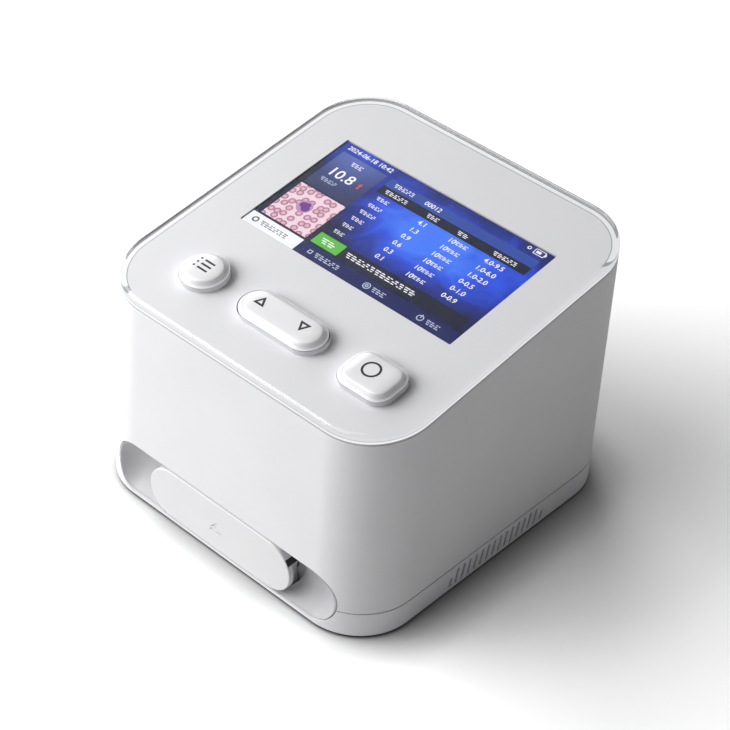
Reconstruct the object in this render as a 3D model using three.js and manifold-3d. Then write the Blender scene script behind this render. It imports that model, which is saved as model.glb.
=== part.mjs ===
// A desk-top white blood cell analyzer: a rounded block with a sloped clear top over a screen
// and three buttons, and a drawer for the test cuvette in a recess low on the front.
// Millimetres, +Z up, front towards -Y. The origin is under the middle, on the surface it stands on.

import * as THREE from 'three';
import { mergeVertices } from 'three/addons/utils/BufferGeometryUtils.js';
import Module from 'manifold-3d';

const wasm = await Module();
wasm.setup();

// Driving sizes of the body, in plan at the top
const bodyWidth = 131;
const bodyDepth = 132.6;
const bodyCorner = 22.8;
const topMidHeight = 96.6;
const topTilt = THREE.MathUtils.degToRad(9);
const draftWide = 1.2;
const draftDeep = 2.35;
const wall = 2.4;
const partingHeight = 11;
const baseClear = 1;

// Named clearances and the overrun of a cutting tool past the face it cuts
const fitGap = 0.3;
const seamGap = 0.2;
const overrun = 3;

// Layers of the sloped top, from the outside in
const coverThick = 3.8;
const coverRound = 1.4;
const deckThick = 2;
const deckSeat = 3;
const ledgeThick = 2;

// Screen: its lit face, from the sides, the rear and the row of buttons
const screenX = 0.3;
const screenSide = 17.98;
const screenRear = 26.77;
const screenRowGap = 28.27;

// Front recess and drawer
const recessSide = 12.5;
const recessRadius = 10.5;
const recessLip = 1.7;
const linerDeep = 9.3;
const linerBackThick = 3;
const bowlLong = 19.1;
const drawerX = -0.6;
const drawerProud = 0.4;

// Buttons on the slope, in the plane of the cover's top
const buttonRowInset = 23.7;
const menuShift = 5.2;
const menuRadius = 8.7;
const rockerX = 0.6;
const rockerHalf = 17.9;
const rockerHalfDeep = 7.4;
const confirmShift = 1.8;
const confirmHalf = 10.8;
const confirmHalfDeep = 8.7;
const confirmCorner = 6;
const capRise = 2.1;
const capRound = 1.6;
const buttonTravel = 0.6;
const rockerTilt = THREE.MathUtils.degToRad(2.5);

// Share of a rounded edge's radius at its middle, and the flat left between arcs that nearly meet
const softShare = 0.3;
const shortFlat = 0.1;

// Steps of round outlines
const arcSteps = 5;
const roundSides = 24;
const fineSides = 32;

const halfWide = bodyWidth / 2;
const halfDeep = bodyDepth / 2;
const seamDrop = coverThick + seamGap;
const floorTop = baseClear + wall;
const recessHeight = baseClear + recessLip + recessRadius;
const linerBackY = linerDeep - halfDeep;
const slotBackY = linerBackY - linerBackThick;
const buttonRowY = buttonRowInset - halfDeep;
const screenRearY = halfDeep - screenRear;
const screenFrontY = buttonRowY + screenRowGap;
const screenWide = bodyWidth - 2 * screenSide;
const screenDeep = screenRearY - screenFrontY;
const screenY = (screenFrontY + screenRearY) / 2;
const menuX = (rockerX - rockerHalf - halfWide) / 2 + menuShift;
const confirmX = (rockerX + rockerHalf + halfWide) / 2 - confirmShift;
const recessHalf = halfWide - recessSide;
const drawerHalf = recessHalf - bowlLong;

const topAt = (y) => topMidHeight + y * Math.tan(topTilt);
const upright = (depth) => depth / Math.cos(topTilt);

// Mesh and solid helpers

const solid = (geometry) => {
  const bare = geometry.clone();
  bare.deleteAttribute('normal');
  bare.deleteAttribute('uv');
  const merged = mergeVertices(bare);
  const vertProperties = new Float32Array(merged.attributes.position.array);
  const triVerts = new Uint32Array(merged.index.array);
  return new wasm.Manifold(new wasm.Mesh({ numProp: 3, vertProperties, triVerts }));
};

const geometryOf = (body) => {
  const { numProp, vertProperties, triVerts } = body.getMesh();
  const geometry = new THREE.BufferGeometry();
  const places = [];
  for (let i = 0; i < vertProperties.length; i += numProp) {
    places.push(vertProperties[i], vertProperties[i + 1], vertProperties[i + 2]);
  }
  geometry.setAttribute('position', new THREE.Float32BufferAttribute(places, 3));
  geometry.setIndex(new THREE.Uint32BufferAttribute(triVerts, 1));
  geometry.computeVertexNormals();
  return geometry;
};

const unite = (parts) => parts.reduce((all, part) => all.add(part));
const cutAll = (body, tools) => tools.reduce((left, tool) => left.subtract(tool), body);

const finishes = {
  whitePlastic: { color: 0xe9e9ea, roughness: 0.45, metalness: 0 },
  glossWhite: { color: 0xf2f2f3, roughness: 0.2, metalness: 0 },
  clearAcrylic: { color: 0xf4f8fa, roughness: 0.03, metalness: 0, transparent: true, opacity: 0.3 },
  screenGlass: { color: 0x0b2f9a, roughness: 0.15, metalness: 0 },
  blackPlastic: { color: 0x1b1b1d, roughness: 0.5, metalness: 0 },
  rubber: { color: 0x3a3a3c, roughness: 0.85, metalness: 0 },
  steel: { color: 0xb9bcc0, roughness: 0.35, metalness: 1 },
  aluminium: { color: 0xc9ccd0, roughness: 0.4, metalness: 1 },
  board: { color: 0x1f6b3c, roughness: 0.6, metalness: 0 },
  opticGlass: { color: 0xdfeef2, roughness: 0.05, metalness: 0 },
  battery: { color: 0x3b6fb0, roughness: 0.5, metalness: 0 },
};

const part = (name, body, finish) => {
  const geometry = body.isBufferGeometry ? body : geometryOf(body);
  const mesh = new THREE.Mesh(geometry, new THREE.MeshStandardMaterial(finish));
  mesh.name = name;
  return mesh;
};

// Outlines

const roundedShape = (halfX, halfY, radius) => {
  const shape = new THREE.Shape();
  const x = halfX - radius;
  const y = halfY - radius;
  const quarter = Math.PI / 2;
  shape.absarc(x, y, radius, 0, quarter);
  shape.absarc(-x, y, radius, quarter, 2 * quarter);
  shape.absarc(-x, -y, radius, 2 * quarter, 3 * quarter);
  shape.absarc(x, -y, radius, 3 * quarter, 4 * quarter);
  return shape;
};

const stadiumShape = (half, radius) => {
  const shape = new THREE.Shape();
  const quarter = Math.PI / 2;
  shape.absarc(half - radius, 0, radius, -quarter, quarter);
  shape.absarc(radius - half, 0, radius, quarter, 3 * quarter);
  return shape;
};

// Plates and bars

const plate = (shape, low, high, steps = arcSteps) => {
  const depth = high - low;
  const geometry = new THREE.ExtrudeGeometry(shape, { depth, bevelEnabled: false, curveSegments: steps });
  geometry.translate(0, 0, low);
  return geometry;
};

const box = (lowX, highX, lowY, highY, lowZ, highZ) => {
  const geometry = new THREE.BoxGeometry(highX - lowX, highY - lowY, highZ - lowZ);
  geometry.translate((lowX + highX) / 2, (lowY + highY) / 2, (lowZ + highZ) / 2);
  return geometry;
};

const rod = (x, y, low, high, radius, sides = roundSides) => {
  const geometry = new THREE.CylinderGeometry(radius, radius, high - low, sides);
  geometry.rotateX(Math.PI / 2);
  geometry.translate(x, y, (low + high) / 2);
  return geometry;
};

const rodAlongY = (x, z, low, high, radius, sides = roundSides) => {
  const geometry = new THREE.CylinderGeometry(radius, radius, high - low, sides);
  geometry.translate(x, (low + high) / 2, z);
  return geometry;
};

// A stadium of the front face, swept along Y
const stadiumAlongY = (x, z, half, radius, lowY, highY) => {
  const geometry = plate(stadiumShape(half, radius), 0, highY - lowY, 2 * arcSteps);
  geometry.rotateX(Math.PI / 2);
  geometry.translate(x, highY, z);
  return geometry;
};

// A closed solid through a stack of outlines, each given by its points in order round the middle
const loft = (rings) => {
  const count = rings[0].length;
  const places = rings.flat().flatMap((point) => [point.x, point.y, point.z]);
  const index = [];
  for (let level = 0; level < rings.length - 1; level += 1) {
    for (let i = 0; i < count; i += 1) {
      const next = (i + 1) % count;
      const low = level * count;
      const high = low + count;
      index.push(low + i, low + next, high + next);
      index.push(low + i, high + next, high + i);
    }
  }
  const capOf = (ring) => THREE.ShapeUtils.triangulateShape(ring.map((p) => new THREE.Vector2(p.x, p.y)), []);
  for (const [a, b, c] of capOf(rings[0])) {
    index.push(c, b, a);
  }
  const last = (rings.length - 1) * count;
  for (const [a, b, c] of capOf(rings[rings.length - 1])) {
    index.push(last + a, last + b, last + c);
  }
  const geometry = new THREE.BufferGeometry();
  geometry.setAttribute('position', new THREE.Float32BufferAttribute(places, 3));
  geometry.setIndex(index);
  geometry.computeVertexNormals();
  return geometry;
};

const ring = (halfX, halfY, radius, heightAt) => {
  const points = roundedShape(halfX, halfY, radius).getPoints(arcSteps);
  if (points[0].distanceTo(points[points.length - 1]) < shortFlat) {
    points.pop();
  }
  return points.map((point) => new THREE.Vector3(point.x, point.y, heightAt(point.y)));
};

// The body's outline at a level height: a little wider low down, as moulded walls are
const levelRing = (inset, height) => {
  const share = 1 - height / (topMidHeight - seamDrop);
  const x = halfWide + draftWide * share - inset;
  const y = halfDeep + draftDeep * share - inset;
  return ring(x, y, bodyCorner - inset, () => height);
};

// The body's outline at a depth below the sloped top
const slopedRing = (inset, drop) =>
  ring(halfWide - inset, halfDeep - inset, bodyCorner - inset, (y) => topAt(y) - upright(drop));

// A placed frame in the plane of the cover's top, X across and Y up the slope
const slope = new THREE.Matrix4().makeTranslation(0, 0, topMidHeight);
slope.multiply(new THREE.Matrix4().makeRotationX(topTilt));
const onSlope = (geometry) => geometry.applyMatrix4(slope);

// Drawer, lamp and light path: the levels and ends that several pieces share

const frameRise = 6.6;
const frameSheet = 1.6;
const trayLift = 0.9;
const slideGap = 0.7;
const traySide = 7.1;
const trayThick = 6.8;
const trayLong = 56;
const trayWall = 2;
const trayFloor = 2;
const tongueOut = 2.6;
const tongueLift = 2.3;
const tongueThick = 1.9;
const holderRise = 1.6;
const holderSideGap = 2.8;
const holderFrontGap = 4.5;
const holderRearGap = 6;
const drawerScrewInset = 13.9;
const drawerScrewRadius = 1.2;
const drawerScrewDeep = 4;
const drawerHeadRadius = 2.3;
const drawerHeadThick = 1.2;
const columnGap = 2;
const columnThick = 8;
const frameMargin = 1;
const lightDepth = 21;
const lightRadius = 5;
const frameTop = floorTop + fitGap + frameRise;
const lampTop = frameTop - frameSheet - fitGap;
const trayHalf = drawerHalf - traySide;
const tongueHalf = trayHalf + tongueOut;
const drawerScrewX = drawerHalf - drawerScrewInset;
const trayLow = frameTop + trayLift;
const trayHigh = trayLow + trayThick;
const trayRearY = slotBackY + trayLong;
const tongueLow = trayLow + tongueLift;
const tongueHigh = tongueLow + tongueThick;
const holderHigh = trayHigh + holderRise;
const holderHalf = trayHalf - trayWall - holderSideGap;
const drawerScrewHeight = trayLow + trayFloor + fitGap + drawerHeadRadius;
const lightY = linerBackY + lightDepth;
const columnFrontY = trayRearY + columnGap;
const columnRearY = columnFrontY + columnThick;
const frameRearY = columnRearY + frameMargin;

// Front recess: a collar round it inside both shells, and the cut through them

const frontOut = -halfDeep - draftDeep - overrun;
const recessCollar = (gap = 0) => solid(stadiumAlongY(
  0, recessHeight, recessHalf + wall + gap, recessRadius + wall + gap, frontOut, linerBackY + gap));
const recessCut = () =>
  solid(stadiumAlongY(0, recessHeight, recessHalf, recessRadius, frontOut, linerBackY + overrun));

// Holes for the button caps, cut through the cover and the deck

const capGap = 0.35;
const rockerEndGap = 0.55;
const capHoles = (low, high) => {
  const menu = onSlope(rod(menuX, buttonRowY, low, high, menuRadius + capGap, fineSides));
  const rocker = plate(
    stadiumShape(rockerHalf + rockerEndGap, rockerHalfDeep + capGap), low, high, 2 * arcSteps);
  rocker.translate(rockerX, buttonRowY, 0);
  const confirm = plate(
    roundedShape(confirmHalf + capGap, confirmHalfDeep + capGap, confirmCorner + capGap), low, high);
  confirm.translate(confirmX, buttonRowY, 0);
  return [solid(menu), solid(onSlope(rocker)), solid(onSlope(confirm))];
};

// Case screws: where they stand, front pair and rear pair

const caseScrewInset = 6.2;
const caseScrewFrontInset = 27.3;
const caseScrewRearInset = 20.3;
const caseScrewX = halfWide - caseScrewInset;
const caseScrewFrontY = caseScrewFrontInset - halfDeep;
const caseScrewRearY = halfDeep - caseScrewRearInset;
const caseScrewPlaces = [
  { name: 'case_screw_front_left', x: -caseScrewX, y: caseScrewFrontY },
  { name: 'case_screw_front_right', x: caseScrewX, y: caseScrewFrontY },
  { name: 'case_screw_rear_left', x: -caseScrewX, y: caseScrewRearY },
  { name: 'case_screw_rear_right', x: caseScrewX, y: caseScrewRearY },
];
const bossRadius = 4;
const screwRadius = 1.5;
const screwHole = screwRadius + fitGap;
const screwHeadRadius = 2.8;
const screwHeadThick = 2;
const counterboreDeep = 5;
const bossRise = 2.7;
const bossLong = 20.3;
const screwBite = 12.3;
const counterboreTop = baseClear + counterboreDeep;
const bossSplit = partingHeight + bossRise;
const bossTop = bossSplit + bossLong;
const screwTop = bossSplit + screwBite;

// Base shell

const lipInset = wall + fitGap;
const lipThick = 1.2;
const lipRise = 2.5;
const lipTop = partingHeight + lipRise;
const baseWall = lipInset + lipThick;
const baseEdge = 0.8;
const ventCount = 16;
const ventPitch = 3.26;
const ventWide = 1.2;
const ventMargin = 1.7;
const ventLow = baseClear + ventMargin;
const ventHigh = partingHeight - ventMargin;
const ventEndDrop = 2.6;
const ventMidY = 0.6;
const ventSlant = THREE.MathUtils.degToRad(12);
const footInset = 18.5;
const footEndInset = 17.3;
const footX = halfWide - footInset;
const footY = halfDeep - footEndInset;
const footRadius = 6;
const footPocket = 0.8;

// Battery on the floor at the rear, and the main board on its posts above it
const batteryThick = 14.3;
const boardClear = 10;
const boardThick = 1.6;
const boardSide = 14.5;
const boardFrontGap = 3;
const boardRearGap = 1.9;
const boardPostInset = 4.5;
const boardPostRadius = 3;
const batteryHigh = floorTop + fitGap + batteryThick;
const mainBoardLow = batteryHigh + boardClear;
const boardHalf = halfWide - boardSide;
const boardRearY = halfDeep - wall - boardRearGap;
const boardFrontY = frameRearY + boardFrontGap;
const boardPostX = boardHalf - boardPostInset;
const boardPostFrontY = boardFrontY + boardPostInset;
const boardPostRearY = boardRearY - boardPostInset;
const boardScrewRadius = 1.1;
const boardPostPlaces = [
  { name: 'main_board_screw_front_left', x: -boardPostX, y: boardPostFrontY },
  { name: 'main_board_screw_front_right', x: boardPostX, y: boardPostFrontY },
  { name: 'main_board_screw_rear_left', x: -boardPostX, y: boardPostRearY },
  { name: 'main_board_screw_rear_right', x: boardPostX, y: boardPostRearY },
];
const boardScrewBite = 8;
const boardScrewLow = mainBoardLow - boardScrewBite;

const ventSlot = (index) => {
  const ends = index === 0 || index === ventCount - 1;
  const high = ends ? ventHigh - ventEndDrop : ventHigh;
  const middleY = ventMidY + (index - (ventCount - 1) / 2) * ventPitch;
  const outside = halfWide + draftWide + overrun;
  const length = high - ventLow;
  const geometry = new THREE.BoxGeometry(outside - halfWide + baseWall + overrun, ventWide, length);
  geometry.rotateX(-ventSlant);
  geometry.translate((outside + halfWide - baseWall - overrun) / 2, middleY, (ventLow + high) / 2);
  return solid(geometry);
};

const makeBaseShell = () => {
  const outer = solid(loft([
    levelRing(baseEdge, baseClear),
    levelRing(0, baseClear + baseEdge),
    levelRing(0, partingHeight),
  ]));
  const lip = solid(loft([levelRing(lipInset, floorTop), levelRing(lipInset, lipTop)]));
  const clearLip = lip.subtract(recessCollar(fitGap));
  const cavity = solid(loft([levelRing(baseWall, floorTop), levelRing(baseWall, lipTop + overrun)]));
  const bosses = caseScrewPlaces.map(({ x, y }) =>
    solid(rod(x, y, baseClear + baseEdge, bossSplit, bossRadius)));
  const posts = boardPostPlaces.map(({ x, y }) =>
    solid(rod(x, y, floorTop - baseEdge, mainBoardLow - fitGap, boardPostRadius)));
  const shell = outer.add(clearLip).subtract(cavity);
  const body = unite([shell, recessCollar().intersect(outer), ...bosses, ...posts]);
  const tools = [recessCut()];
  for (let index = 0; index < ventCount; index += 1) {
    tools.push(ventSlot(index));
  }
  for (const { x, y } of caseScrewPlaces) {
    tools.push(solid(rod(x, y, -overrun, bossSplit + overrun, screwHole)));
    tools.push(solid(rod(x, y, -overrun, counterboreTop, screwHeadRadius + fitGap)));
  }
  for (const { x, y } of boardPostPlaces) {
    tools.push(solid(rod(x, y, boardScrewLow - fitGap, mainBoardLow + overrun, boardScrewRadius + fitGap)));
  }
  for (const { x, y } of footPlaces) {
    tools.push(solid(rod(x, y, -overrun, baseClear + footPocket, footRadius + fitGap)));
  }
  return part('base_shell', cutAll(body, tools), finishes.whitePlastic);
};

const footPlaces = [
  { name: 'foot_front_left', x: -footX, y: -footY },
  { name: 'foot_front_right', x: footX, y: -footY },
  { name: 'foot_rear_left', x: -footX, y: footY },
  { name: 'foot_rear_right', x: footX, y: footY },
];

const makeFeet = () => footPlaces.map(({ name, x, y }) => {
  const top = baseClear + footPocket - fitGap;
  return part(name, rod(x, y, 0, top, footRadius), finishes.rubber);
});

const screwSolid = (x, y, headLow, headThick, tip, headRadius, radius) => {
  const head = solid(rod(x, y, headLow, headLow + headThick, headRadius));
  const low = Math.min(headLow, tip);
  const high = Math.max(headLow + headThick, tip);
  return head.add(solid(rod(x, y, low, high, radius)));
};

const makeCaseScrews = () => caseScrewPlaces.map(({ name, x, y }) => {
  const headLow = counterboreTop - fitGap - screwHeadThick;
  const body = screwSolid(x, y, headLow, screwHeadThick, screwTop - fitGap, screwHeadRadius, screwRadius);
  return part(name, body, finishes.steel);
});

// Main shell: the four walls, the ledge under the deck, the screw bosses and the rear sockets' holes

const bossRib = 2;
const socketX = -22;
const jackHalf = 4.8;
const jackHeight = 11;
const usbX = 2;
const usbHalf = 5;
const usbHeight = 4.2;

const makeMainShell = () => {
  const low = partingHeight + fitGap;
  const outer = solid(loft([levelRing(0, low), slopedRing(0, seamDrop)]));
  const ledgeDrop = seamDrop + deckThick + fitGap;
  const roomDrop = ledgeDrop + ledgeThick;
  const room = solid(loft([levelRing(wall, low - overrun), slopedRing(wall, roomDrop)]));
  const ledgeHole = solid(loft([
    slopedRing(wall + deckSeat, roomDrop + overrun),
    slopedRing(wall + deckSeat, seamDrop - overrun),
  ]));
  const deckPocket = solid(loft([slopedRing(wall, ledgeDrop), slopedRing(wall, seamDrop - overrun)]));
  const bosses = caseScrewPlaces.map(({ x, y }) => {
    const outward = Math.sign(x);
    const post = solid(rod(x, y, bossSplit + fitGap, bossTop, bossRadius));
    const reach = outward * (halfWide - wall / 2);
    const rib = box(
      Math.min(x, reach), Math.max(x, reach), y - bossRib / 2, y + bossRib / 2, bossSplit + fitGap, bossTop);
    return post.add(solid(rib));
  });
  const walls = cutAll(outer, [room, ledgeHole, deckPocket]);
  const collar = recessCollar().intersect(outer);
  const tools = [recessCut()];
  for (const { x, y } of caseScrewPlaces) {
    tools.push(solid(rod(x, y, -overrun, screwTop, screwHole)));
  }
  const boardTop = mainBoardLow + boardThick;
  const rearOut = halfDeep + draftDeep + overrun;
  const rearIn = halfDeep - wall - overrun;
  const jackHole = box(socketX - jackHalf - fitGap, socketX + jackHalf + fitGap, rearIn, rearOut,
    boardTop, boardTop + jackHeight + 2 * fitGap);
  const usbHole = box(usbX - usbHalf - fitGap, usbX + usbHalf + fitGap, rearIn, rearOut,
    boardTop, boardTop + usbHeight + 2 * fitGap);
  tools.push(solid(jackHole), solid(usbHole));
  return part('main_shell', cutAll(unite([walls, collar, ...bosses]), tools), finishes.whitePlastic);
};

// White deck under the clear cover, with the screen window and the posts of the button board

const windowGap = 0.35;
const deckBack = -seamDrop - deckThick;
const flangeTop = deckBack - fitGap;
const flangeThick = 1.2;
const flangeOut = 1.2;
const stemLong = 1.5;
const stemLow = flangeTop - flangeThick - stemLong;
const switchTop = stemLow - buttonTravel - fitGap;
const switchHigh = 3;
const buttonBoardTop = switchTop - switchHigh - fitGap;
const buttonBoardMargin = 2;
const buttonBoardFront = 11;
const buttonBoardRear = 17;
const panelPostRadius = 2.6;
const panelScrewRadius = 1.1;
const panelScrewBite = 5.2;
const panelPostInset = 3.5;
const panelPostRearInset = 10;
const buttonBoardHalf = confirmX + confirmHalf + buttonBoardMargin;
const panelScrewTop = buttonBoardTop + panelScrewBite;
const panelPostPlaces = [
  {
    name: 'button_board_screw_left',
    x: panelPostInset - buttonBoardHalf,
    y: buttonRowY + buttonBoardRear - panelPostRearInset,
  },
  {
    name: 'button_board_screw_right',
    x: buttonBoardHalf - 2 * panelPostInset,
    y: buttonRowY + buttonBoardRear - panelPostInset,
  },
];

const makeDeckPlate = () => {
  const body = solid(loft([
    slopedRing(wall + fitGap, seamDrop + deckThick),
    slopedRing(wall + fitGap, seamDrop),
  ]));
  const posts = panelPostPlaces.map(({ x, y }) =>
    solid(onSlope(rod(x, y, buttonBoardTop + fitGap, deckBack + deckThick / 2, panelPostRadius))));
  const window = plate(
    roundedShape(screenWide / 2 + windowGap, screenDeep / 2 + windowGap, windowGap),
    deckBack - overrun, -seamDrop + overrun);
  window.translate(screenX, screenY, 0);
  const holes = panelPostPlaces.map(({ x, y }) =>
    solid(onSlope(rod(x, y, buttonBoardTop - overrun, panelScrewTop, panelScrewRadius + fitGap))));
  const caps = capHoles(deckBack - overrun, -seamDrop + overrun);
  const tools = [solid(onSlope(window)), ...caps, ...holes];
  return part('deck_plate', cutAll(unite([body, ...posts]), tools), finishes.glossWhite);
};

const makeClearCover = () => {
  const body = solid(loft([
    slopedRing(0, coverThick),
    slopedRing(0, coverRound),
    slopedRing(coverRound * softShare, coverRound * softShare),
    slopedRing(coverRound, 0),
  ]));
  return part('clear_cover', cutAll(body, capHoles(-coverThick - overrun, overrun)), finishes.clearAcrylic);
};

// Screen module: a flat frame under the deck with its lit face raised into the window

const moduleSide = 5.23;
const moduleEnd = 6.67;
const moduleWide = screenWide + 2 * moduleSide;
const moduleDeep = screenDeep + 2 * moduleEnd;
const moduleThick = 2.9;
const moduleTop = deckBack - fitGap;
const screenFace = -seamDrop - fitGap;
const bracketThick = 1;
const bracketMargin = 2.5;

const makeScreen = () => {
  const frameX = moduleWide / 2;
  const frameY = moduleDeep / 2;
  const faceX = screenWide / 2;
  const faceY = screenDeep / 2;
  const frame = box(-frameX, frameX, -frameY, frameY, moduleTop - moduleThick, moduleTop);
  const face = box(-faceX, faceX, -faceY, faceY, moduleTop - moduleThick / 2, screenFace);
  const body = solid(frame).add(solid(face));
  const mesh = part('display_module', body, finishes.screenGlass);
  mesh.position.set(screenX, screenY, 0);
  return mesh;
};

const makeScreenBracket = () => {
  const x = moduleWide / 2 + bracketMargin;
  const y = moduleDeep / 2 - bracketMargin;
  const top = moduleTop - moduleThick - fitGap;
  const sheet = box(-x, x, -y, y, top - bracketThick, top);
  const leftTab = box(-x, bracketThick - x, -y, y, top - bracketThick, moduleTop);
  const rightTab = box(x - bracketThick, x, -y, y, top - bracketThick, moduleTop);
  const body = unite([solid(sheet), solid(leftTab), solid(rightTab)]);
  const mesh = part('display_bracket', body, finishes.steel);
  mesh.position.set(screenX, screenY, 0);
  return mesh;
};

// Button caps: a soft edge and a low crown above the cover, a flange and a stem below the deck

const stemRadius = 2.4;
const crownInsetShares = [0, softShare, 1];
const crownDropShares = [1, softShare, 0];

const cap = (outline, low) => {
  const rings = [outline(0, low)];
  crownInsetShares.forEach((share, i) => {
    rings.push(outline(capRound * share, capRise - capRound * crownDropShares[i]));
  });
  return solid(loft(rings));
};

const outlineOf = (halfX, halfY, radius) => (inset, height) =>
  ring(halfX - inset, halfY - inset, radius - inset, () => height);

const makeMenuButton = () => {
  const body = unite([
    cap(outlineOf(menuRadius, menuRadius, menuRadius - shortFlat), flangeTop - flangeThick),
    solid(rod(0, 0, flangeTop - flangeThick, flangeTop, menuRadius + flangeOut, fineSides)),
    solid(rod(0, 0, stemLow, flangeTop - flangeThick / 2, stemRadius)),
  ]);
  const mesh = part('menu_button', body, finishes.glossWhite);
  mesh.position.set(menuX, buttonRowY, 0);
  return mesh;
};

const makeConfirmButton = () => {
  const flange = roundedShape(
    confirmHalf + flangeOut, confirmHalfDeep + flangeOut, confirmCorner + flangeOut);
  const body = unite([
    cap(outlineOf(confirmHalf, confirmHalfDeep, confirmCorner), flangeTop - flangeThick),
    solid(plate(flange, flangeTop - flangeThick, flangeTop)),
    solid(rod(0, 0, stemLow, flangeTop - flangeThick / 2, stemRadius)),
  ]);
  const mesh = part('confirm_button', body, finishes.glossWhite);
  mesh.position.set(confirmX, buttonRowY, 0);
  return mesh;
};

// Rocker: pivots on a pin across it, and each end presses a switch

const pinRadius = 1;
const pinGap = 0.1;
const pivotBelowDeck = 2;
const pivotDrop = pivotBelowDeck - deckBack;
const rockerBodyLow = flangeTop;
const rockerStemX = 11.5;
const rockerStemLow = switchTop + fitGap + (rockerStemX + stemRadius) * Math.sin(rockerTilt);
const hubHalf = 2.2;
const hubHalfDeep = 5;

const makeRocker = () => {
  const root = rockerBodyLow + capRound;
  const hub = box(-hubHalf, hubHalf, -hubHalfDeep, hubHalfDeep, -pivotDrop - hubHalf, root);
  const body = unite([
    cap(outlineOf(rockerHalf, rockerHalfDeep, rockerHalfDeep - shortFlat), rockerBodyLow),
    solid(hub),
    solid(rod(-rockerStemX, 0, rockerStemLow, root, stemRadius)),
    solid(rod(rockerStemX, 0, rockerStemLow, root, stemRadius)),
  ]);
  const bore = solid(rodAlongY(0, -pivotDrop, -rockerHalfDeep, rockerHalfDeep, pinRadius + pinGap));
  const mesh = part('rocker_button', body.subtract(bore), finishes.glossWhite);
  mesh.position.set(rockerX, buttonRowY, 0);
  return mesh;
};

const earThick = 1.6;
const earHalf = 2.4;
const earMargin = 0.4;
const earTop = pinRadius + earMargin - pivotDrop;
const earInnerY = hubHalfDeep + fitGap;
const cradleLow = buttonBoardTop + fitGap;
const cradleFoot = 1;

const makeRockerCradle = () => {
  const outerY = earInnerY + earThick;
  const foot = box(-earHalf, earHalf, -outerY, outerY, cradleLow, cradleLow + cradleFoot);
  const frontEar = box(-earHalf, earHalf, -outerY, -earInnerY, cradleLow, earTop);
  const rearEar = box(-earHalf, earHalf, earInnerY, outerY, cradleLow, earTop);
  const bore = rodAlongY(0, -pivotDrop, -outerY - overrun, outerY + overrun, pinRadius + pinGap);
  const body = unite([solid(foot), solid(frontEar), solid(rearEar)]).subtract(solid(bore));
  const mesh = part('rocker_cradle', body, finishes.steel);
  mesh.position.set(rockerX, buttonRowY, 0);
  return mesh;
};

const makeRockerPin = () => {
  const end = earInnerY + earThick + fitGap;
  const mesh = part('rocker_pin', rodAlongY(0, -pivotDrop, -end, end, pinRadius), finishes.steel);
  mesh.position.set(rockerX, buttonRowY, 0);
  return mesh;
};

// Button board with its four switches

const switchHalf = 3;
const plungerRadius = 1.6;
const plungerRise = 0.6;
const switchPlaces = [
  { name: 'switch_menu', x: menuX },
  { name: 'switch_up', x: rockerX - rockerStemX },
  { name: 'switch_down', x: rockerX + rockerStemX },
  { name: 'switch_confirm', x: confirmX },
];

const makeButtonBoard = () => {
  const low = buttonBoardTop - boardThick;
  const frontY = buttonRowY - buttonBoardFront;
  const rearY = buttonRowY + buttonBoardRear;
  const sheet = box(-buttonBoardHalf, buttonBoardHalf, frontY, rearY, low, buttonBoardTop);
  const holes = panelPostPlaces.map(({ x, y }) =>
    solid(rod(x, y, low - overrun, buttonBoardTop + overrun, panelScrewRadius + fitGap)));
  return part('button_board', cutAll(solid(sheet), holes), finishes.board);
};

const makeSwitches = () => switchPlaces.map(({ name, x }) => {
  const low = buttonBoardTop + fitGap;
  const bodyTop = switchTop - plungerRise;
  const body = solid(box(-switchHalf, switchHalf, -switchHalf, switchHalf, low, bodyTop));
  const mesh = part(name, body.add(solid(rod(0, 0, low, switchTop, plungerRadius))), finishes.blackPlastic);
  mesh.position.set(x, buttonRowY, 0);
  return mesh;
});

const panelHeadRadius = 2.2;
const panelHeadThick = 1.2;

const makePanelScrews = () => panelPostPlaces.map(({ name, x, y }) => {
  const headLow = buttonBoardTop - boardThick - fitGap - panelHeadThick;
  const body = screwSolid(
    x, y, headLow, panelHeadThick, panelScrewTop - fitGap, panelHeadRadius, panelScrewRadius);
  return part(name, body, finishes.steel);
});

// Recess liner: fills the recess behind the drawer front, with a finger bowl at each side

const bowlDeep = 7.3;
const bowlFront = 6;
const bowlReach = 12;
const bowlRows = 14;

// The bowls' full radius, with which they meet the recess's rim at the wall's face
const bowlShare = bowlFront / (bowlFront + bowlDeep);
const bowlRadius = recessRadius / Math.sqrt(1 - bowlShare * bowlShare);

// The wall's face at the recess's middle height
const recessFaceY = -halfDeep - draftDeep * (1 - recessHeight / (topMidHeight - seamDrop));

// A dish at one end of the recess, which runs in behind the drawer front's end
const fingerBowl = (side) => {
  const ends = [0, bowlReach].map((reach) => {
    const end = new THREE.SphereGeometry(1, fineSides, bowlRows);
    end.scale(bowlRadius, bowlDeep + bowlFront, bowlRadius);
    end.translate(side * (recessHalf - recessRadius - reach), recessFaceY - bowlFront, recessHeight);
    return solid(end);
  });
  return wasm.Manifold.hull(ends);
};

const makeRecessLiner = () => {
  const plug = solid(stadiumAlongY(
    0, recessHeight, recessHalf - fitGap, recessRadius - fitGap, frontOut, linerBackY));
  const skin = solid(loft([levelRing(0, -overrun), levelRing(0, bossTop)]));
  const slot = stadiumAlongY(
    drawerX, recessHeight, drawerHalf + fitGap, recessRadius + fitGap, frontOut - overrun, slotBackY);
  const passageHalf = tongueHalf + slideGap;
  const passage = box(
    drawerX - passageHalf, drawerX + passageHalf, slotBackY - overrun, linerBackY + overrun,
    trayLow - slideGap, holderHigh + slideGap);
  const tools = [solid(slot), solid(passage), fingerBowl(-1), fingerBowl(1)];
  const body = cutAll(plug.intersect(skin), tools);
  return part('recess_liner', body, finishes.whitePlastic);
};

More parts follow.
